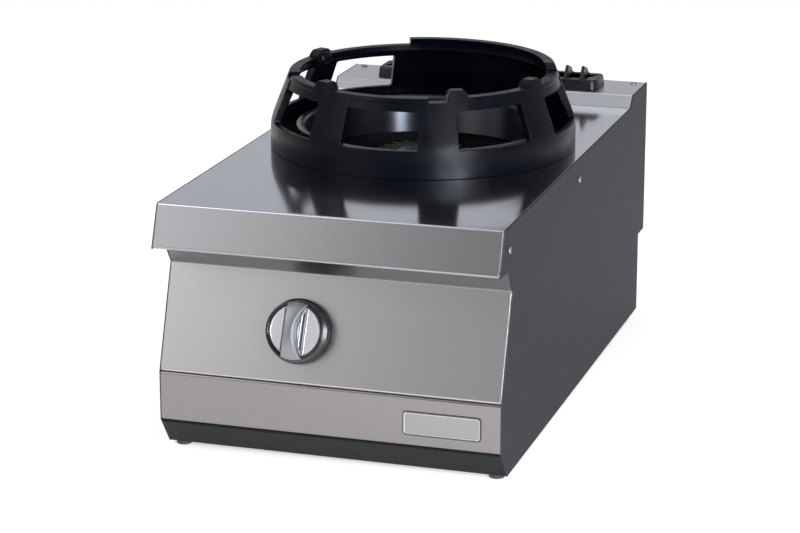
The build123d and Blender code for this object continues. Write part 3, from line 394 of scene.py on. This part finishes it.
# painted shade: the side panels are the same steel as the front, coloured far darker and given a dark rim
# tint
side_shade_finish = brushed_sheet(
    "side_brush_painted_shade", "y", (0.055, 0.055, 0.066), (0.075, 0.075, 0.088), 0.3, 0.38, bump=0.05, rim_tint=0.46
)
# painted shade: the housing's sides, facing along X, are coloured dark; its top keeps the lighter steel
housing_finish = brushed_sheet(
    "housing_brush", "x", (0.53, 0.535, 0.57), (0.59, 0.595, 0.63), 0.26, 0.34, bump=0.04,
    painted_shade=("Normal", "X", 0.8, (0.06, 0.06, 0.072)),
)
# painted shade: the kick plate, which faces down, is coloured near black
kick_shade_finish = even_surface(
    "kick_painted_shade", (0.006, 0.006, 0.0065), (0.01, 0.0098, 0.0102), 0.4, 0.52, specular=0.17
)
ring_finish = cast_surface(
    "ring_enamel", (0.0006, 0.001, 0.0026), (0.0018, 0.003, 0.0068), 0.27, 0.4, pit=0.5, specular=0.12
)
cover_finish = cast_surface(
    "cover_enamel", (0.003, 0.0036, 0.0055), (0.008, 0.0095, 0.013), 0.3, 0.45, pit=0.15, specular=0.35
)
burner_finish = cast_surface(
    "burner_casting", (0.01, 0.01, 0.0105), (0.024, 0.023, 0.023), 0.42, 0.6, pit=0.3, specular=0.4
)
bowl_finish = even_surface("bowl_enamel", (0.008, 0.008, 0.009), (0.014, 0.014, 0.016), 0.18, 0.3)
zinc_finish = brushed_sheet("zinc_sheet", "y", (0.44, 0.45, 0.47), (0.58, 0.59, 0.61), 0.34, 0.46)
alloy_finish = cast_surface(
    "alloy_casting", (0.46, 0.46, 0.47), (0.6, 0.6, 0.61), 0.4, 0.55, pit=0.15, metallic=1.0
)
brass_finish = even_surface("turned_brass", (0.6, 0.42, 0.16), (0.75, 0.54, 0.24), 0.24, 0.36, metallic=1.0)
tube_finish = even_surface("drawn_tube", (0.4, 0.4, 0.41), (0.52, 0.52, 0.53), 0.26, 0.36, metallic=1.0)
copper_finish = even_surface("drawn_copper", (0.6, 0.27, 0.15), (0.76, 0.38, 0.24), 0.24, 0.36, metallic=1.0)
knob_finish = even_surface(
    "knob_moulding", (0.004, 0.004, 0.005), (0.007, 0.007, 0.009), 0.14, 0.2, bump=0.03
)
silver_finish = brushed_sheet(
    "knob_silver_coat", "z", (0.57, 0.57, 0.595), (0.76, 0.76, 0.785), 0.35, 0.42, bump=0.12
)
# painted shade: the grip has the face's silver coat, coloured darker
grip_shade_finish = brushed_sheet(
    "knob_grip_coat_painted_shade", "z", (0.2, 0.205, 0.22), (0.34, 0.345, 0.36), 0.42, 0.5, bump=0.12
)
# dark finish for the knob's real indicator line, and for shadow lines painted on the knob and name plate
groove_and_shadow_finish = even_surface("knob_groove_and_shadow", (0.03, 0.03, 0.033), (0.05, 0.05, 0.055), 0.4, 0.5)
screw_finish = even_surface("screw_steel", (0.24, 0.24, 0.26), (0.34, 0.34, 0.36), 0.3, 0.4, metallic=1.0)
foot_finish = even_surface("foot_rubber", (0.04, 0.04, 0.041), (0.06, 0.06, 0.062), 0.55, 0.7)
plate_finish = brushed_sheet(
    "plate_brush", "x", (0.3, 0.295, 0.29), (0.34, 0.334, 0.33), 0.28, 0.34, bump=0.04
)
# painted highlight: the plate's inner border is the field's brushed metal, coloured lighter
border_highlight_finish = brushed_sheet(
    "plate_border_painted_highlight", "x", (0.5, 0.49, 0.49), (0.56, 0.55, 0.55), 0.24, 0.3, bump=0.04
)


# ---------------------------------------------------------------- building pieces


def new_object(name, data):
    """A new object in the scene."""
    thing = bpy.data.objects.new(name, data)
    bpy.context.scene.collection.objects.link(thing)
    return thing


def finish_piece(bm, name, body, nodes, finishes, bevel=0.0, segments=2, sharp=40.0):
    """Turn a bmesh in millimetres into a piece that stands for its CAD nodes."""
    bmesh.ops.scale(bm, vec=(mm, mm, mm), verts=bm.verts)
    bmesh.ops.recalc_face_normals(bm, faces=bm.faces)
    mesh = bpy.data.meshes.new(name)
    bm.to_mesh(mesh)
    bm.free()
    for face in mesh.polygons:
        face.use_smooth = True
    for finish in finishes:
        mesh.materials.append(finish)
    piece = new_object(name, mesh)
    if bevel:
        soften(piece, bevel, segments, sharp)
    else:
        mesh.set_sharp_from_angle(angle=radians(sharp))
    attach(piece, body)
    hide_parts(*nodes)


def soften(piece, width, segments, sharp):
    """Round the edges that are sharper than an angle."""
    edge = piece.modifiers.new("soft_edges", "BEVEL")
    edge.width = width * mm
    edge.segments = segments
    edge.limit_method = "ANGLE"
    edge.angle_limit = radians(sharp)
    edge.use_clamp_overlap = False
    edge.harden_normals = True
    edge.miter_outer = "MITER_ARC"


def verts_of(made):
    """The vertices of what an operator made."""
    return [item for item in made if isinstance(item, bmesh.types.BMVert)]


def faces_of(made):
    """The faces of what an operator made."""
    return [item for item in made if isinstance(item, bmesh.types.BMFace)]


def grow(bm, faces, keep=False):
    """Extrude faces and give the new vertices and faces; the old faces go unless they close the shape."""
    grown = bmesh.ops.extrude_face_region(bm, geom=faces)["geom"]
    if not keep:
        bmesh.ops.delete(bm, geom=faces, context="FACES_ONLY")
    return verts_of(grown), faces_of(grown)


def closed_outline(bm, points, placed):
    """A closed run of edges through points; placed turns a point's two numbers into a place."""
    corners = [bm.verts.new(placed(*point)) for point in points]
    return corners, [bm.edges.new((a, b)) for a, b in zip(corners, corners[1:] + corners[:1])]


def spun(points, placed, centre, steps, axis=(0, 0, 1)):
    """Spin a closed outline once round the axis."""
    bm = bmesh.new()
    corners, edges = closed_outline(bm, points, placed)
    bmesh.ops.spin(
        bm, geom=corners + edges, cent=centre, axis=axis, angle=2 * pi, steps=steps, use_merge=True
    )
    bmesh.ops.remove_doubles(bm, verts=bm.verts, dist=0.001)
    return bm


def rounded_off(bm, geom, affect, offset, segments):
    """Bevel edges, or vertices, to arcs that start an offset away."""
    return bmesh.ops.bevel(
        bm,
        geom=geom,
        affect=affect,
        offset=offset,
        offset_type="OFFSET",
        segments=segments,
        profile=0.5,
        material=-1,
    )


def rounded_loop(bm, length, width, corner, z, segments=6):
    """The edges of a rectangle with rounded corners, flat at height z."""
    made = bmesh.ops.create_grid(bm, x_segments=1, y_segments=1, size=0.5)["verts"]
    bmesh.ops.scale(bm, vec=(length, width, 1), verts=made)
    bmesh.ops.translate(bm, vec=(0, 0, z), verts=made)
    face = rounded_off(bm, made, "VERTICES", corner, segments)["verts"][0].link_faces[0]
    edges = list(face.edges)
    bmesh.ops.delete(bm, geom=[face], context="FACES_ONLY")
    return edges


def lofted(bm, loops, closed=True):
    """Bridge each loop of edges to the next, and the last to the first if closed."""
    following = loops[1:] + loops[:1] if closed else loops[1:]
    for one, other in zip(loops, following):
        bmesh.ops.bridge_loops(bm, edges=one + other)


def verts_along(edges):
    return list({vert for edge in edges for vert in edge.verts})


def stepped_disc(bm, segments, z, steps):
    """A disc whose edge goes up and in by steps of rise and radius; gives its top face."""
    _, radius = steps[0]
    circle = bmesh.ops.create_circle(bm, cap_ends=True, segments=segments, radius=radius)["verts"]
    bmesh.ops.translate(bm, vec=(0, 0, z), verts=circle)
    top = circle[0].link_faces[0]
    for count, (rise, radius) in enumerate(steps):
        # the circle's own face stays as the disc's back
        rim, faces = grow(bm, [top], keep=count == 0)
        top = faces[0]
        share = radius / rim[0].co.xy.length
        bmesh.ops.translate(bm, vec=(0, 0, rise), verts=rim)
        bmesh.ops.scale(bm, vec=(share, share, 1), verts=rim)
    return top


# ---- wok ring ----


def at_front(radius, height):
    """A place in front of the burner's axis."""
    return 0, burner_axis.y - radius, height


def away_from_burner(place):
    """The level run from the burner's axis to a place."""
    return Vector((place.x, place.y - burner_axis.y, 0))


def angle_of(place):
    """Degrees about the burner's axis: 0 at the front, growing towards the right."""
    turn = Vector((0, -1)).angle_signed(away_from_burner(place).xy, 0.0)
    return -turn * 180 / pi


def within(angle, spans):
    return any(low < angle + turn < high for low, high in spans for turn in (-360, 0, 360))


def cone(height):
    """Radius of the wall's outside, which narrows from the band to the rim."""
    share = (height - band_height) / (rim_height - band_height)
    return band_radius + (rim_radius - band_radius) * share


def inner_wall(height):
    """Radius of the wall's inside, which leans in a little more than the outside."""
    low = band_radius - ring_wall
    high = cone(rim_foot) - ring_wall
    return low + (high - low) * (height - band_height) / (rim_foot - ring_wall - band_height)


def set_radius(vert, radius, height):
    """Move a vertex of the ring along its radius and to a height above the worktop."""
    away = away_from_burner(vert.co).normalized() * radius
    vert.co = Vector((away.x, away.y + burner_axis.y, worktop_height + height))


def turn_about_burner(vert, degrees):
    turned = Matrix.Rotation(radians(degrees), 3, "Z") @ (vert.co - burner_axis)
    vert.co = turned + burner_axis


def lug_at(angle):
    """The span of the lug that an angle lies in, its ends included."""
    for low, high in lug_spans:
        if low - lug_slack < angle < high + lug_slack:
            return low, high
    return None


def nose_place(height):
    """Radius and height of the nose where the lug's inside face stood at a height."""
    return lug_nose[min(lug_nose, key=lambda step: abs(step - height))]


def ring_section():
    """The casting's section: the outside going up, then the inside coming down."""
    slope = (rim_radius - band_radius) / (rim_height - band_height)
    low = band_height - crease_half
    high = band_height + crease_half
    outside = [(foot_radius, 0), (band_radius, 0)]
    for height in (low, *crease_steps, high):
        # the crease is a gentle curve that leaves the band upright and joins the cone
        outside.append((band_radius + slope * (height - low) ** 2 / (2 * (high - low)), height))
    outside += [(cone(h), h) for h in (*cone_steps, window_head, rim_foot, notch_floor)]
    inside = [(rim_inner, notch_floor), (rim_inner, rim_foot), (inner_wall(window_head), window_head)]
    inside += [(inner_wall(h), h) for h in (*cone_steps[::-1], high, *crease_steps[:1:-1])]
    inside += [(band_radius - ring_wall, band_inner_height), (band_radius - ring_wall, foot_depth)]
    inside += [(foot_radius, foot_depth)]
    return [(radius, worktop_height + height) for radius, height in outside + inside]


def ring_faces(bm, spans, low, high, facing):
    """Faces that look up, out or in, with their middles between two heights and in the spans of angle."""
    found = []
    for face in bm.faces:
        middle = face.calc_center_median()
        if not low < middle.z - worktop_height < high or not within(angle_of(middle), spans):
            continue
        outward = away_from_burner(middle).normalized().dot(face.normal)
        looks = {"up": face.normal.z >= 0.9, "out": outward >= 0.5, "in": outward <= -0.5}
        if looks[facing]:
            found.append(face)
    return found


def spin_ring(bm):
    """Spin the section in stretches that end where a window, lug, notch or the rear wall does."""
    corners, edges = closed_outline(bm, ring_section(), at_front)
    marks = {0.0, 360.0}
    for span in (*window_spans, *lug_spans, *notch_spans, rear_wall_span):
        marks.update(mark % 360 for mark in span)
    marks = sorted(marks)
    latest = corners + edges
    for start, end in zip(marks, marks[1:]):
        turned = bmesh.ops.spin(
            bm,
            geom=latest,
            cent=burner_axis,
            axis=(0, 0, 1),
            angle=radians(end - start),
            steps=max(1, round((end - start) / ring_step)),
        )
        latest = turned["geom_last"]
    bmesh.ops.remove_doubles(bm, verts=bm.verts, dist=0.01)
    bmesh.ops.recalc_face_normals(bm, faces=bm.faces)


def window_corners(bm):
    """The edges that run through the wall where a window's upright side meets its sill or head."""
    found = []
    for edge in bm.edges:
        if len(edge.link_faces) != 2:
            continue
        foot = min(vert.co.z for vert in edge.verts) - worktop_height
        near, far = (away_from_burner(vert.co).length for vert in edge.verts)
        upright, level = sorted(abs(face.normal.z) for face in edge.link_faces)
        in_window = window_sill - 1 < foot < window_head + 1
        if in_window and abs(near - far) > ring_wall / 2 and upright < 0.2 and level > 0.6:
            found.append(edge)
    return found


def cut_windows(bm):
    """Open each window, bridge its outside edge to its inside edge, then round the corners of all."""
    for span in window_spans:
        wall = ring_faces(bm, [span], window_sill, window_head, "out")
        wall += ring_faces(bm, [span], window_sill, window_head, "in")
        bmesh.ops.delete(bm, geom=wall, context="FACES")
        rims = [edge for edge in bm.edges if edge.is_boundary]
        bmesh.ops.bridge_loops(bm, edges=rims)
    bmesh.ops.recalc_face_normals(bm, faces=bm.faces)
    rounded_off(bm, window_corners(bm), "EDGES", window_corner, 3)


def set_back_panels(bm):
    """The wall above each window lies a little behind the posts."""
    for span in recess_spans:
        verts, _ = grow(bm, ring_faces(bm, [span], window_head, notch_floor, "out"))
        for vert in verts:
            height = vert.co.z - worktop_height
            set_radius(vert, cone(height) - post_relief, height)


def raise_rim(bm, spans, floor, height):
    """Lift the rim's top between the spans, keeping the slope of its sides."""
    verts, _ = grow(bm, ring_faces(bm, spans, floor - 0.5, floor + 0.5, "up"))
    outer = cone(height)
    inner = rim_inner if height <= rim_height else outer - rim_width
    middle = (cone(floor) + rim_inner) / 2
    for vert in verts:
        outside = away_from_burner(vert.co).length > middle
        set_radius(vert, outer if outside else inner, height)


def narrow_lugs(bm):
    """Lugs narrow as they rise."""
    for vert in bm.verts:
        height = vert.co.z - worktop_height
        angle = angle_of(vert.co)
        span = lug_at(angle)
        if span and height > rim_height + 1:
            share = shoulder_share if height < lug_shoulder + 1 else crest_share
            turn_about_burner(vert, (share - 1) * (angle - sum(span) / 2))


def grow_noses(bm):
    """The lugs' inside faces grow inward to a rounded nose."""
    for span in lug_spans:
        middle = sum(span) / 2
        verts, _ = grow(bm, ring_faces(bm, [span], window_head, lug_height, "in"))
        for vert in verts:
            radius, level = nose_place(vert.co.z - worktop_height)
            aside = (angle_of(vert.co) - middle) / (span[1] - span[0]) * 2
            radius += (rim_inner + 1 - radius) * nose_rounding * aside**4
            set_radius(vert, radius, level)
            turn_about_burner(vert, -nose_narrowing * (angle_of(vert.co) - middle))


def build_wok_ring():
    bm = bmesh.new()
    spin_ring(bm)
    cut_windows(bm)
    set_back_panels(bm)
    left_notch, right_notch = notch_spans
    raised = [(-180.0, left_notch[0]), (left_notch[1], right_notch[0]), (right_notch[1], 180.0)]
    raise_rim(bm, raised, notch_floor, rim_height)
    raise_rim(bm, [rear_wall_span], rim_height, rear_wall_height)
    raise_rim(bm, lug_spans, rim_height, lug_shoulder)
    raise_rim(bm, lug_spans, lug_shoulder, lug_height)
    bmesh.ops.recalc_face_normals(bm, faces=bm.faces)
    narrow_lugs(bm)
    grow_noses(bm)
    finish_piece(
        bm, "wok_ring_casting", "wok_ring", ["wok_ring"], [ring_finish], bevel=0.9, segments=3
    )


# ---- flue cover, splash collar and burner cap ----


def build_flue_cover():
    bm = bmesh.new()
    lofted(bm, [rounded_loop(bm, *step) for step in cover_frame])
    # one grille fin, its outline extruded to its thickness, then repeated along the slot
    near = [bm.verts.new((-fin_thickness / 2, y, z)) for y, z in fin_outline]
    far, _ = grow(bm, [bm.faces.new(near)], keep=True)
    bmesh.ops.translate(bm, vec=(fin_thickness, 0, 0), verts=far)
    verts = near + far
    crest = [vert for vert in verts if vert.co.z > fin_taper_start]
    bmesh.ops.scale(bm, vec=(fin_crest_share, 1, 1), verts=crest)
    faces = {face for vert in verts for face in vert.link_faces}
    edges = {edge for face in faces for edge in face.edges}
    first = -(fin_count - 1) / 2 * fin_pitch
    bmesh.ops.translate(bm, vec=(first, 0, 0), verts=verts)
    for place in range(1, fin_count):
        twin = bmesh.ops.duplicate(bm, geom=[*faces, *edges, *verts])["geom"]
        bmesh.ops.translate(bm, vec=(place * fin_pitch, 0, 0), verts=verts_of(twin))
    bmesh.ops.translate(bm, vec=cover_centre, verts=bm.verts)
    finish_piece(
        bm, "flue_grille", "flue_cover", ["flue_cover"], [cover_finish],
        bevel=0.9, segments=3, sharp=32,
    )


def collar_lip(radius, angles):
    """Points round the collar's rolled lip, in degrees up from its inside."""
    across, up = collar_lip_centre
    return [(across - radius * cos(radians(a)), up + radius * sin(radians(a))) for a in angles]


def build_collar():
    section = [*collar_bore]
    section += collar_lip(collar_lip_radius, (0, 20, 45, 70, 90))
    section += collar_edge
    section += collar_lip(collar_lip_inner, (70, 45, 20, 0))
    section += collar_seat
    bm = spun(section, at_front, burner_axis, steps=144)
    finish_piece(bm, "splash_collar", "root", ["burner_collar"], [collar_finish])


def build_burner_cap():
    bm = spun(cap_section, at_front, burner_axis, steps=96)
    slant = Matrix.Rotation(cap_fin_slant, 3, "Z")
    for fin in range(cap_fin_count):
        made = bmesh.ops.create_cube(bm, size=1.0)["verts"]
        bmesh.ops.scale(bm, vec=cap_fin_size, verts=made)
        tops = [vert for vert in made if vert.co.z > 0]
        bmesh.ops.scale(bm, vec=cap_fin_taper, verts=tops)
        bmesh.ops.rotate(bm, cent=(0, 0, 0), matrix=slant, verts=made)
        bmesh.ops.translate(bm, vec=(cap_fin_radius, 0, cap_fin_middle), verts=made)
        turn = Matrix.Rotation(2 * pi * fin / cap_fin_count, 3, "Z")
        bmesh.ops.rotate(bm, cent=(0, 0, 0), matrix=turn, verts=made)
        bmesh.ops.translate(bm, vec=burner_axis, verts=made)
    finish_piece(bm, "burner_crown", "burner_cap", ["burner_cap"], [burner_finish], bevel=0.5)


# ---- knob ----


def on_knob(x, y, z):
    """A place on the tilted knob."""
    return knob_centre + knob_right * x + knob_up * y + panel_out * z


def beside_knob(radius, out):
    """A place to the right of the knob's axis."""
    return on_knob(radius, 0, out)


def build_knob_body():
    bm = spun(knob_section, beside_knob, knob_centre, steps=120, axis=panel_out)
    finish_piece(bm, "knob_shell", "knob", ["knob_body"], [knob_finish], sharp=50)


def grip_side(across, along):
    """Place across the grip: its sides flare towards both ends, the right one more."""
    left = -(grip_left[0] + (grip_left[1] - grip_left[0]) * along**2)
    right = grip_right[0] + (grip_right[1] - grip_right[0]) * along**2
    return left + (right - left) * (across + 1) / 2


def grip_height(along):
    """Height of the grip's arched back at a place along it."""
    bend = (grip_reach**2 + grip_rise**2) / (2 * grip_rise)
    return grip_crest - bend + sqrt(bend**2 - (along * grip_reach) ** 2)


def add_grip(bm):
    """The waisted, arched grip across the face, its ends following the rim."""
    back = bmesh.ops.create_grid(bm, x_segments=8, y_segments=32, size=1.0)["verts"]
    for vert in back:
        across, along, _ = vert.co
        x = grip_side(across, along)
        end = sqrt(grip_reach**2 - x**2) / grip_reach
        y = along * grip_reach * (1 - (1 - end) * along**6)
        vert.co = (x, y, grip_height(along) - grip_crown * across**2)
    top = list({face for vert in back for face in vert.link_faces})
    foot, _ = grow(bm, top, keep=True)
    for vert in foot:
        along = min(1, abs(vert.co.y) / grip_reach)
        share = max(0, vert.co.x - grip_side(0, along)) / (grip_side(1, along) - grip_side(0, along))
        vert.co.x += grip_flank * share * (1 - along**2)
        vert.co.z = min(knob_plate_face - grip_sink, vert.co.z)


def add_lips(bm):
    """Two raised lips, one each side of the indicator line."""
    for side, length in zip((-1, 1), line_lengths):
        foot, crest = (
            rounded_loop(bm, width, length - cut, corner, knob_plate_face + height, segments=3)
            for width, cut, corner, height in lip_steps
        )
        lofted(bm, [foot, crest], closed=False)
        made = verts_along(foot + crest)
        bmesh.ops.contextual_create(bm, geom=crest)
        bmesh.ops.translate(bm, vec=(line_x + side * line_gap, 0, 0), verts=made)


def add_dark_line(bm, x, width, length, slot):
    """A dark line along the face, in the finish of a slot."""
    corner = line_corner_share * width
    line = rounded_loop(bm, width, length, corner, knob_plate_face + line_lift, segments=4)
    for face in bmesh.ops.contextual_create(bm, geom=line)["faces"]:
        face.material_index = slot
    bmesh.ops.translate(bm, vec=(x, 0, 0), verts=verts_along(line))


def build_knob_face():
    finishes = [grip_shade_finish, groove_and_shadow_finish, silver_finish]
    groove_and_shadow_slot = finishes.index(groove_and_shadow_finish)
    bm = bmesh.new()
    stepped_disc(bm, 96, knob_plate_back, knob_plate_steps)
    for face in bm.faces:
        face.material_index = finishes.index(silver_finish)
    add_grip(bm)
    add_lips(bm)
    # the indicator, and a painted shadow line along the grip's other side
    add_dark_line(bm, line_x, line_width, line_lengths[0], groove_and_shadow_slot)
    add_dark_line(bm, shadow_line_x, shadow_line_width, shadow_line_length, groove_and_shadow_slot)
    for vert in bm.verts:
        vert.co = on_knob(*vert.co)
    finish_piece(bm, "knob_grip", "knob", ["knob_face"], finishes, bevel=0.7, segments=3)


# ---- name plate and screws ----


def build_name_plate():
    """A bare field in a raised border; the outside of the border is painted dark as shadow, and its inner
    step lighter as a painted highlight.
    """
    finishes = [border_highlight_finish, groove_and_shadow_finish, plate_finish]
    bm = bmesh.new()
    loops = [
        rounded_loop(bm, plate_length - 2 * inset, plate_height - 2 * inset, corner, rise)
        for inset, corner, rise in plate_steps
    ]
    lofted(bm, loops, closed=False)
    # painted shadow: the outer wall, chamfer and top of the raised border take the dark finish
    for lower, upper in zip(loops[:3], loops[1:4]):
        above = {face for edge in upper for face in edge.link_faces}
        for face in {face for edge in lower for face in edge.link_faces} & above:
            face.material_index = finishes.index(groove_and_shadow_finish)
    bmesh.ops.contextual_create(bm, geom=loops[0])
    for face in bmesh.ops.contextual_create(bm, geom=loops[-1])["faces"]:
        face.material_index = finishes.index(plate_finish)
    for vert in bm.verts:
        x, y, z = vert.co
        vert.co = plate_centre + Vector((x, -z, y))
    finish_piece(bm, "plate_blank", "root", ["name_plate"], finishes)


def cut_cross(bm, face):
    """Split the head's flat top along a cross and sink the cross."""
    top = [face]
    for axis in ((1, 0, 0), (0, 1, 0)):
        for side in (-recess_half, recess_half):
            edges = {edge for part in top for edge in part.edges}
            verts = {vert for part in top for vert in part.verts}
            cut = bmesh.ops.bisect_plane(
                bm, geom=[*top, *edges, *verts], plane_co=Vector(axis) * side, plane_no=axis
            )
            top = faces_of(cut["geom"])
    cross = []
    for part in top:
        middle = part.calc_center_median()
        if min(abs(middle.x), abs(middle.y)) < recess_half:
            cross.append(part)
    sunk, _ = grow(bm, cross)
    bmesh.ops.translate(bm, vec=(0, 0, -recess_depth), verts=sunk)


def add_screw(bm, place, out, across):
    """One round-headed screw with a cross recess, at a place, facing out."""
    first = len(bm.verts)
    cut_cross(bm, stepped_disc(bm, 24, 0, screw_steps))
    turn = Matrix((across, out.cross(across), out)).transposed()
    bm.verts.ensure_lookup_table()
    for vert in bm.verts[first:]:
        vert.co = place + turn @ vert.co


def build_side_screws():
    bm = bmesh.new()
    across = Vector((0, cos(side_screw_turn), sin(side_screw_turn)))
    for side in (-1, 1):
        for y in side_screw_rows:
            add_screw(bm, Vector((side * side_screw_x, y, side_screw_z)), Vector((side, 0, 0)), across)
    finish_piece(bm, "side_screw_heads", "root", ["side_screws"], [screw_finish])


def build_upstand_screws():
    bm = bmesh.new()
    across = Vector((cos(upstand_screw_turn), sin(upstand_screw_turn), 0))
    for side in (-1, 1):
        place = Vector((side * upstand_screw_x, upstand_screw_y, upstand_top))
        add_screw(bm, place, Vector((0, 0, 1)), across)
    finish_piece(bm, "upstand_screw_heads", "root", ["upstand_screws"], [screw_finish])


build_wok_ring()
build_flue_cover()
build_collar()
build_burner_cap()
build_knob_body()
build_knob_face()
build_name_plate()
build_side_screws()
build_upstand_screws()

# ---- sheets, pipes and hidden parts keep their CAD shapes and get their finishes ----
carried_over = {
    "worktop": worktop_finish,
    "control_panel": front_finish,
    "lower_front_panel": lower_shade_finish,
    "kick_plate": kick_shade_finish,
    "side_panel_left": side_shade_finish,
    "side_panel_right": side_shade_finish,
    "flue_housing": housing_finish,
    "back_panel": zinc_finish,
    "base_pan": zinc_finish,
    "worktop_rail_left": zinc_finish,
    "worktop_rail_right": zinc_finish,
    "burner_bracket": zinc_finish,
    "holder_bracket": zinc_finish,
    "pilot_bracket": zinc_finish,
    "pipe_clips": zinc_finish,
    "air_shutter": zinc_finish,
    "burner_bowl": bowl_finish,
    "burner_body": burner_finish,
    "mixing_tube": alloy_finish,
    "gas_valve": alloy_finish,
    "valve_bonnet": alloy_finish,
    "injector": brass_finish,
    "injector_holder": brass_finish,
    "valve_plunger": brass_finish,
    "inlet_connector": brass_finish,
    "inlet_nut": brass_finish,
    "pilot_burner": brass_finish,
    "feed_pipe": tube_finish,
    "manifold_pipe": tube_finish,
    "pilot_pipe": tube_finish,
    "thermocouple": tube_finish,
    "valve_spindle": tube_finish,
    "thermocouple_lead": copper_finish,
    "valve_screws": screw_finish,
    "foot_nuts": screw_finish,
    "foot_front_left": foot_finish,
    "foot_rear_left": foot_finish,
    "foot_front_right": foot_finish,
    "foot_rear_right": foot_finish,
}
for name, finish in carried_over.items():
    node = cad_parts[name]
    node.data.materials.clear()
    node.data.materials.append(finish)


# ---------------------------------------------------------------- floor, light and camera

floor_half = 30.0
floor_glow = 0.5
room_level = 0.42
room_slope = (("X", 0.02), ("Y", 0.19), ("Z", -0.02))
photo_width = 800
focal_pixels = 2648.1
sensor_width = 36.0
camera_place = (0.9013, -2.9743, 1.0464)
camera_tilt = radians(73.708)
camera_turn = radians(17.303)


def lay_floor():
    """A matt white floor that also glows to the camera and in what it looks through or mirrors in."""
    mesh = bpy.data.meshes.new("studio_floor")
    bm = bmesh.new()
    bmesh.ops.create_grid(bm, x_segments=1, y_segments=1, size=floor_half)
    bm.to_mesh(mesh)
    bm.free()
    studio_floor = new_object("studio_floor", mesh)
    floor_finish, tree, shader = start_finish("floor_white")
    mesh.materials.append(floor_finish)
    feed(tree, shader.inputs["Base Color"], (0.88, 0.88, 0.88))
    feed(tree, shader.inputs["Roughness"], 0.9)
    feed(tree, shader.inputs["Specular IOR Level"], 0.0)
    glow = tree.nodes.new("ShaderNodeEmission")
    feed(tree, glow.inputs["Color"], (1.0, 1.0, 1.0))
    feed(tree, glow.inputs["Strength"], floor_glow)
    glowing = tree.nodes.new("ShaderNodeAddShader")
    feed(tree, glowing.inputs[0], shader.outputs[0])
    feed(tree, glowing.inputs[1], glow.outputs[0])
    ray = tree.nodes.new("ShaderNodeLightPath")
    seen = ray.outputs["Is Camera Ray"]
    for kind in ("Is Glossy Ray", "Is Transmission Ray"):
        seen = worked_out(tree, "MAXIMUM", seen, ray.outputs[kind])
    choice = tree.nodes.new("ShaderNodeMixShader")
    feed(tree, choice.inputs[0], seen)
    feed(tree, choice.inputs[1], shader.outputs[0])
    feed(tree, choice.inputs[2], glowing.outputs[0])
    feed(tree, tree.nodes["Material Output"].inputs["Surface"], choice.outputs[0])


def light_room():
    """Soft light from all round, stronger from behind."""
    world = bpy.data.worlds.new("soft_room")
    bpy.context.scene.world = world
    world.use_nodes = True
    tree = world.node_tree
    place = tree.nodes.new("ShaderNodeTexCoord")
    split = tree.nodes.new("ShaderNodeSeparateXYZ")
    feed(tree, split.inputs[0], place.outputs["Generated"])
    level = room_level
    for axis, share in room_slope:
        level = worked_out(tree, "MULTIPLY_ADD", split.outputs[axis], share, level)
    feed(tree, tree.nodes["Background"].inputs["Strength"], level)
    feed(tree, tree.nodes["Background"].inputs["Color"], (0.97, 0.98, 1.0))


def add_softbox(name, place, aim, size, power, tint=(1, 1, 1)):
    lamp = bpy.data.lights.new(name, "AREA")
    lamp.shape = "RECTANGLE"
    lamp.size, lamp.size_y = size
    lamp.energy = power
    lamp.color = tint
    softbox = new_object(name, lamp)
    softbox.location = place
    softbox.rotation_euler = (Vector(aim) - Vector(place)).to_track_quat("-Z", "Y").to_euler()


def set_camera():
    """The camera that was fitted to the photo's edges."""
    lens = bpy.data.cameras.new("photo_camera")
    lens.sensor_width = sensor_width
    lens.lens = focal_pixels * sensor_width / photo_width
    lens.clip_end = 100
    camera = new_object("photo_camera", lens)
    camera.location = camera_place
    camera.rotation_euler = (camera_tilt, 0, camera_turn)
    bpy.context.scene.camera = camera


lay_floor()
light_room()
add_softbox("key_softbox", place=(-1.9, -1.6, 2.6), aim=(0, 0, 0.2), size=(2.2, 2.2), power=36)
add_softbox("top_softbox", place=(0.3, 0.6, 3.0), aim=(0, 0, 0.2), size=(2.4, 2.0), power=15)
add_softbox("left_softbox", place=(-1.9, -3.0, 1.4), aim=(0, -0.35, 0.15), size=(1.7, 1.7), power=10)
add_softbox(
    "right_softbox", place=(1.29, -1.65, 0.6), aim=(0, -0.15, 0.32), size=(0.2, 0.8), power=27,
    tint=(0.84, 0.92, 1.0),
)
add_softbox("strip_softbox", place=(1.3, -1.44, 0.68), aim=(0, 0.15, 0.3), size=(0.07, 0.5), power=12)
set_camera()
bpy.context.scene.view_settings.view_transform = "Standard"
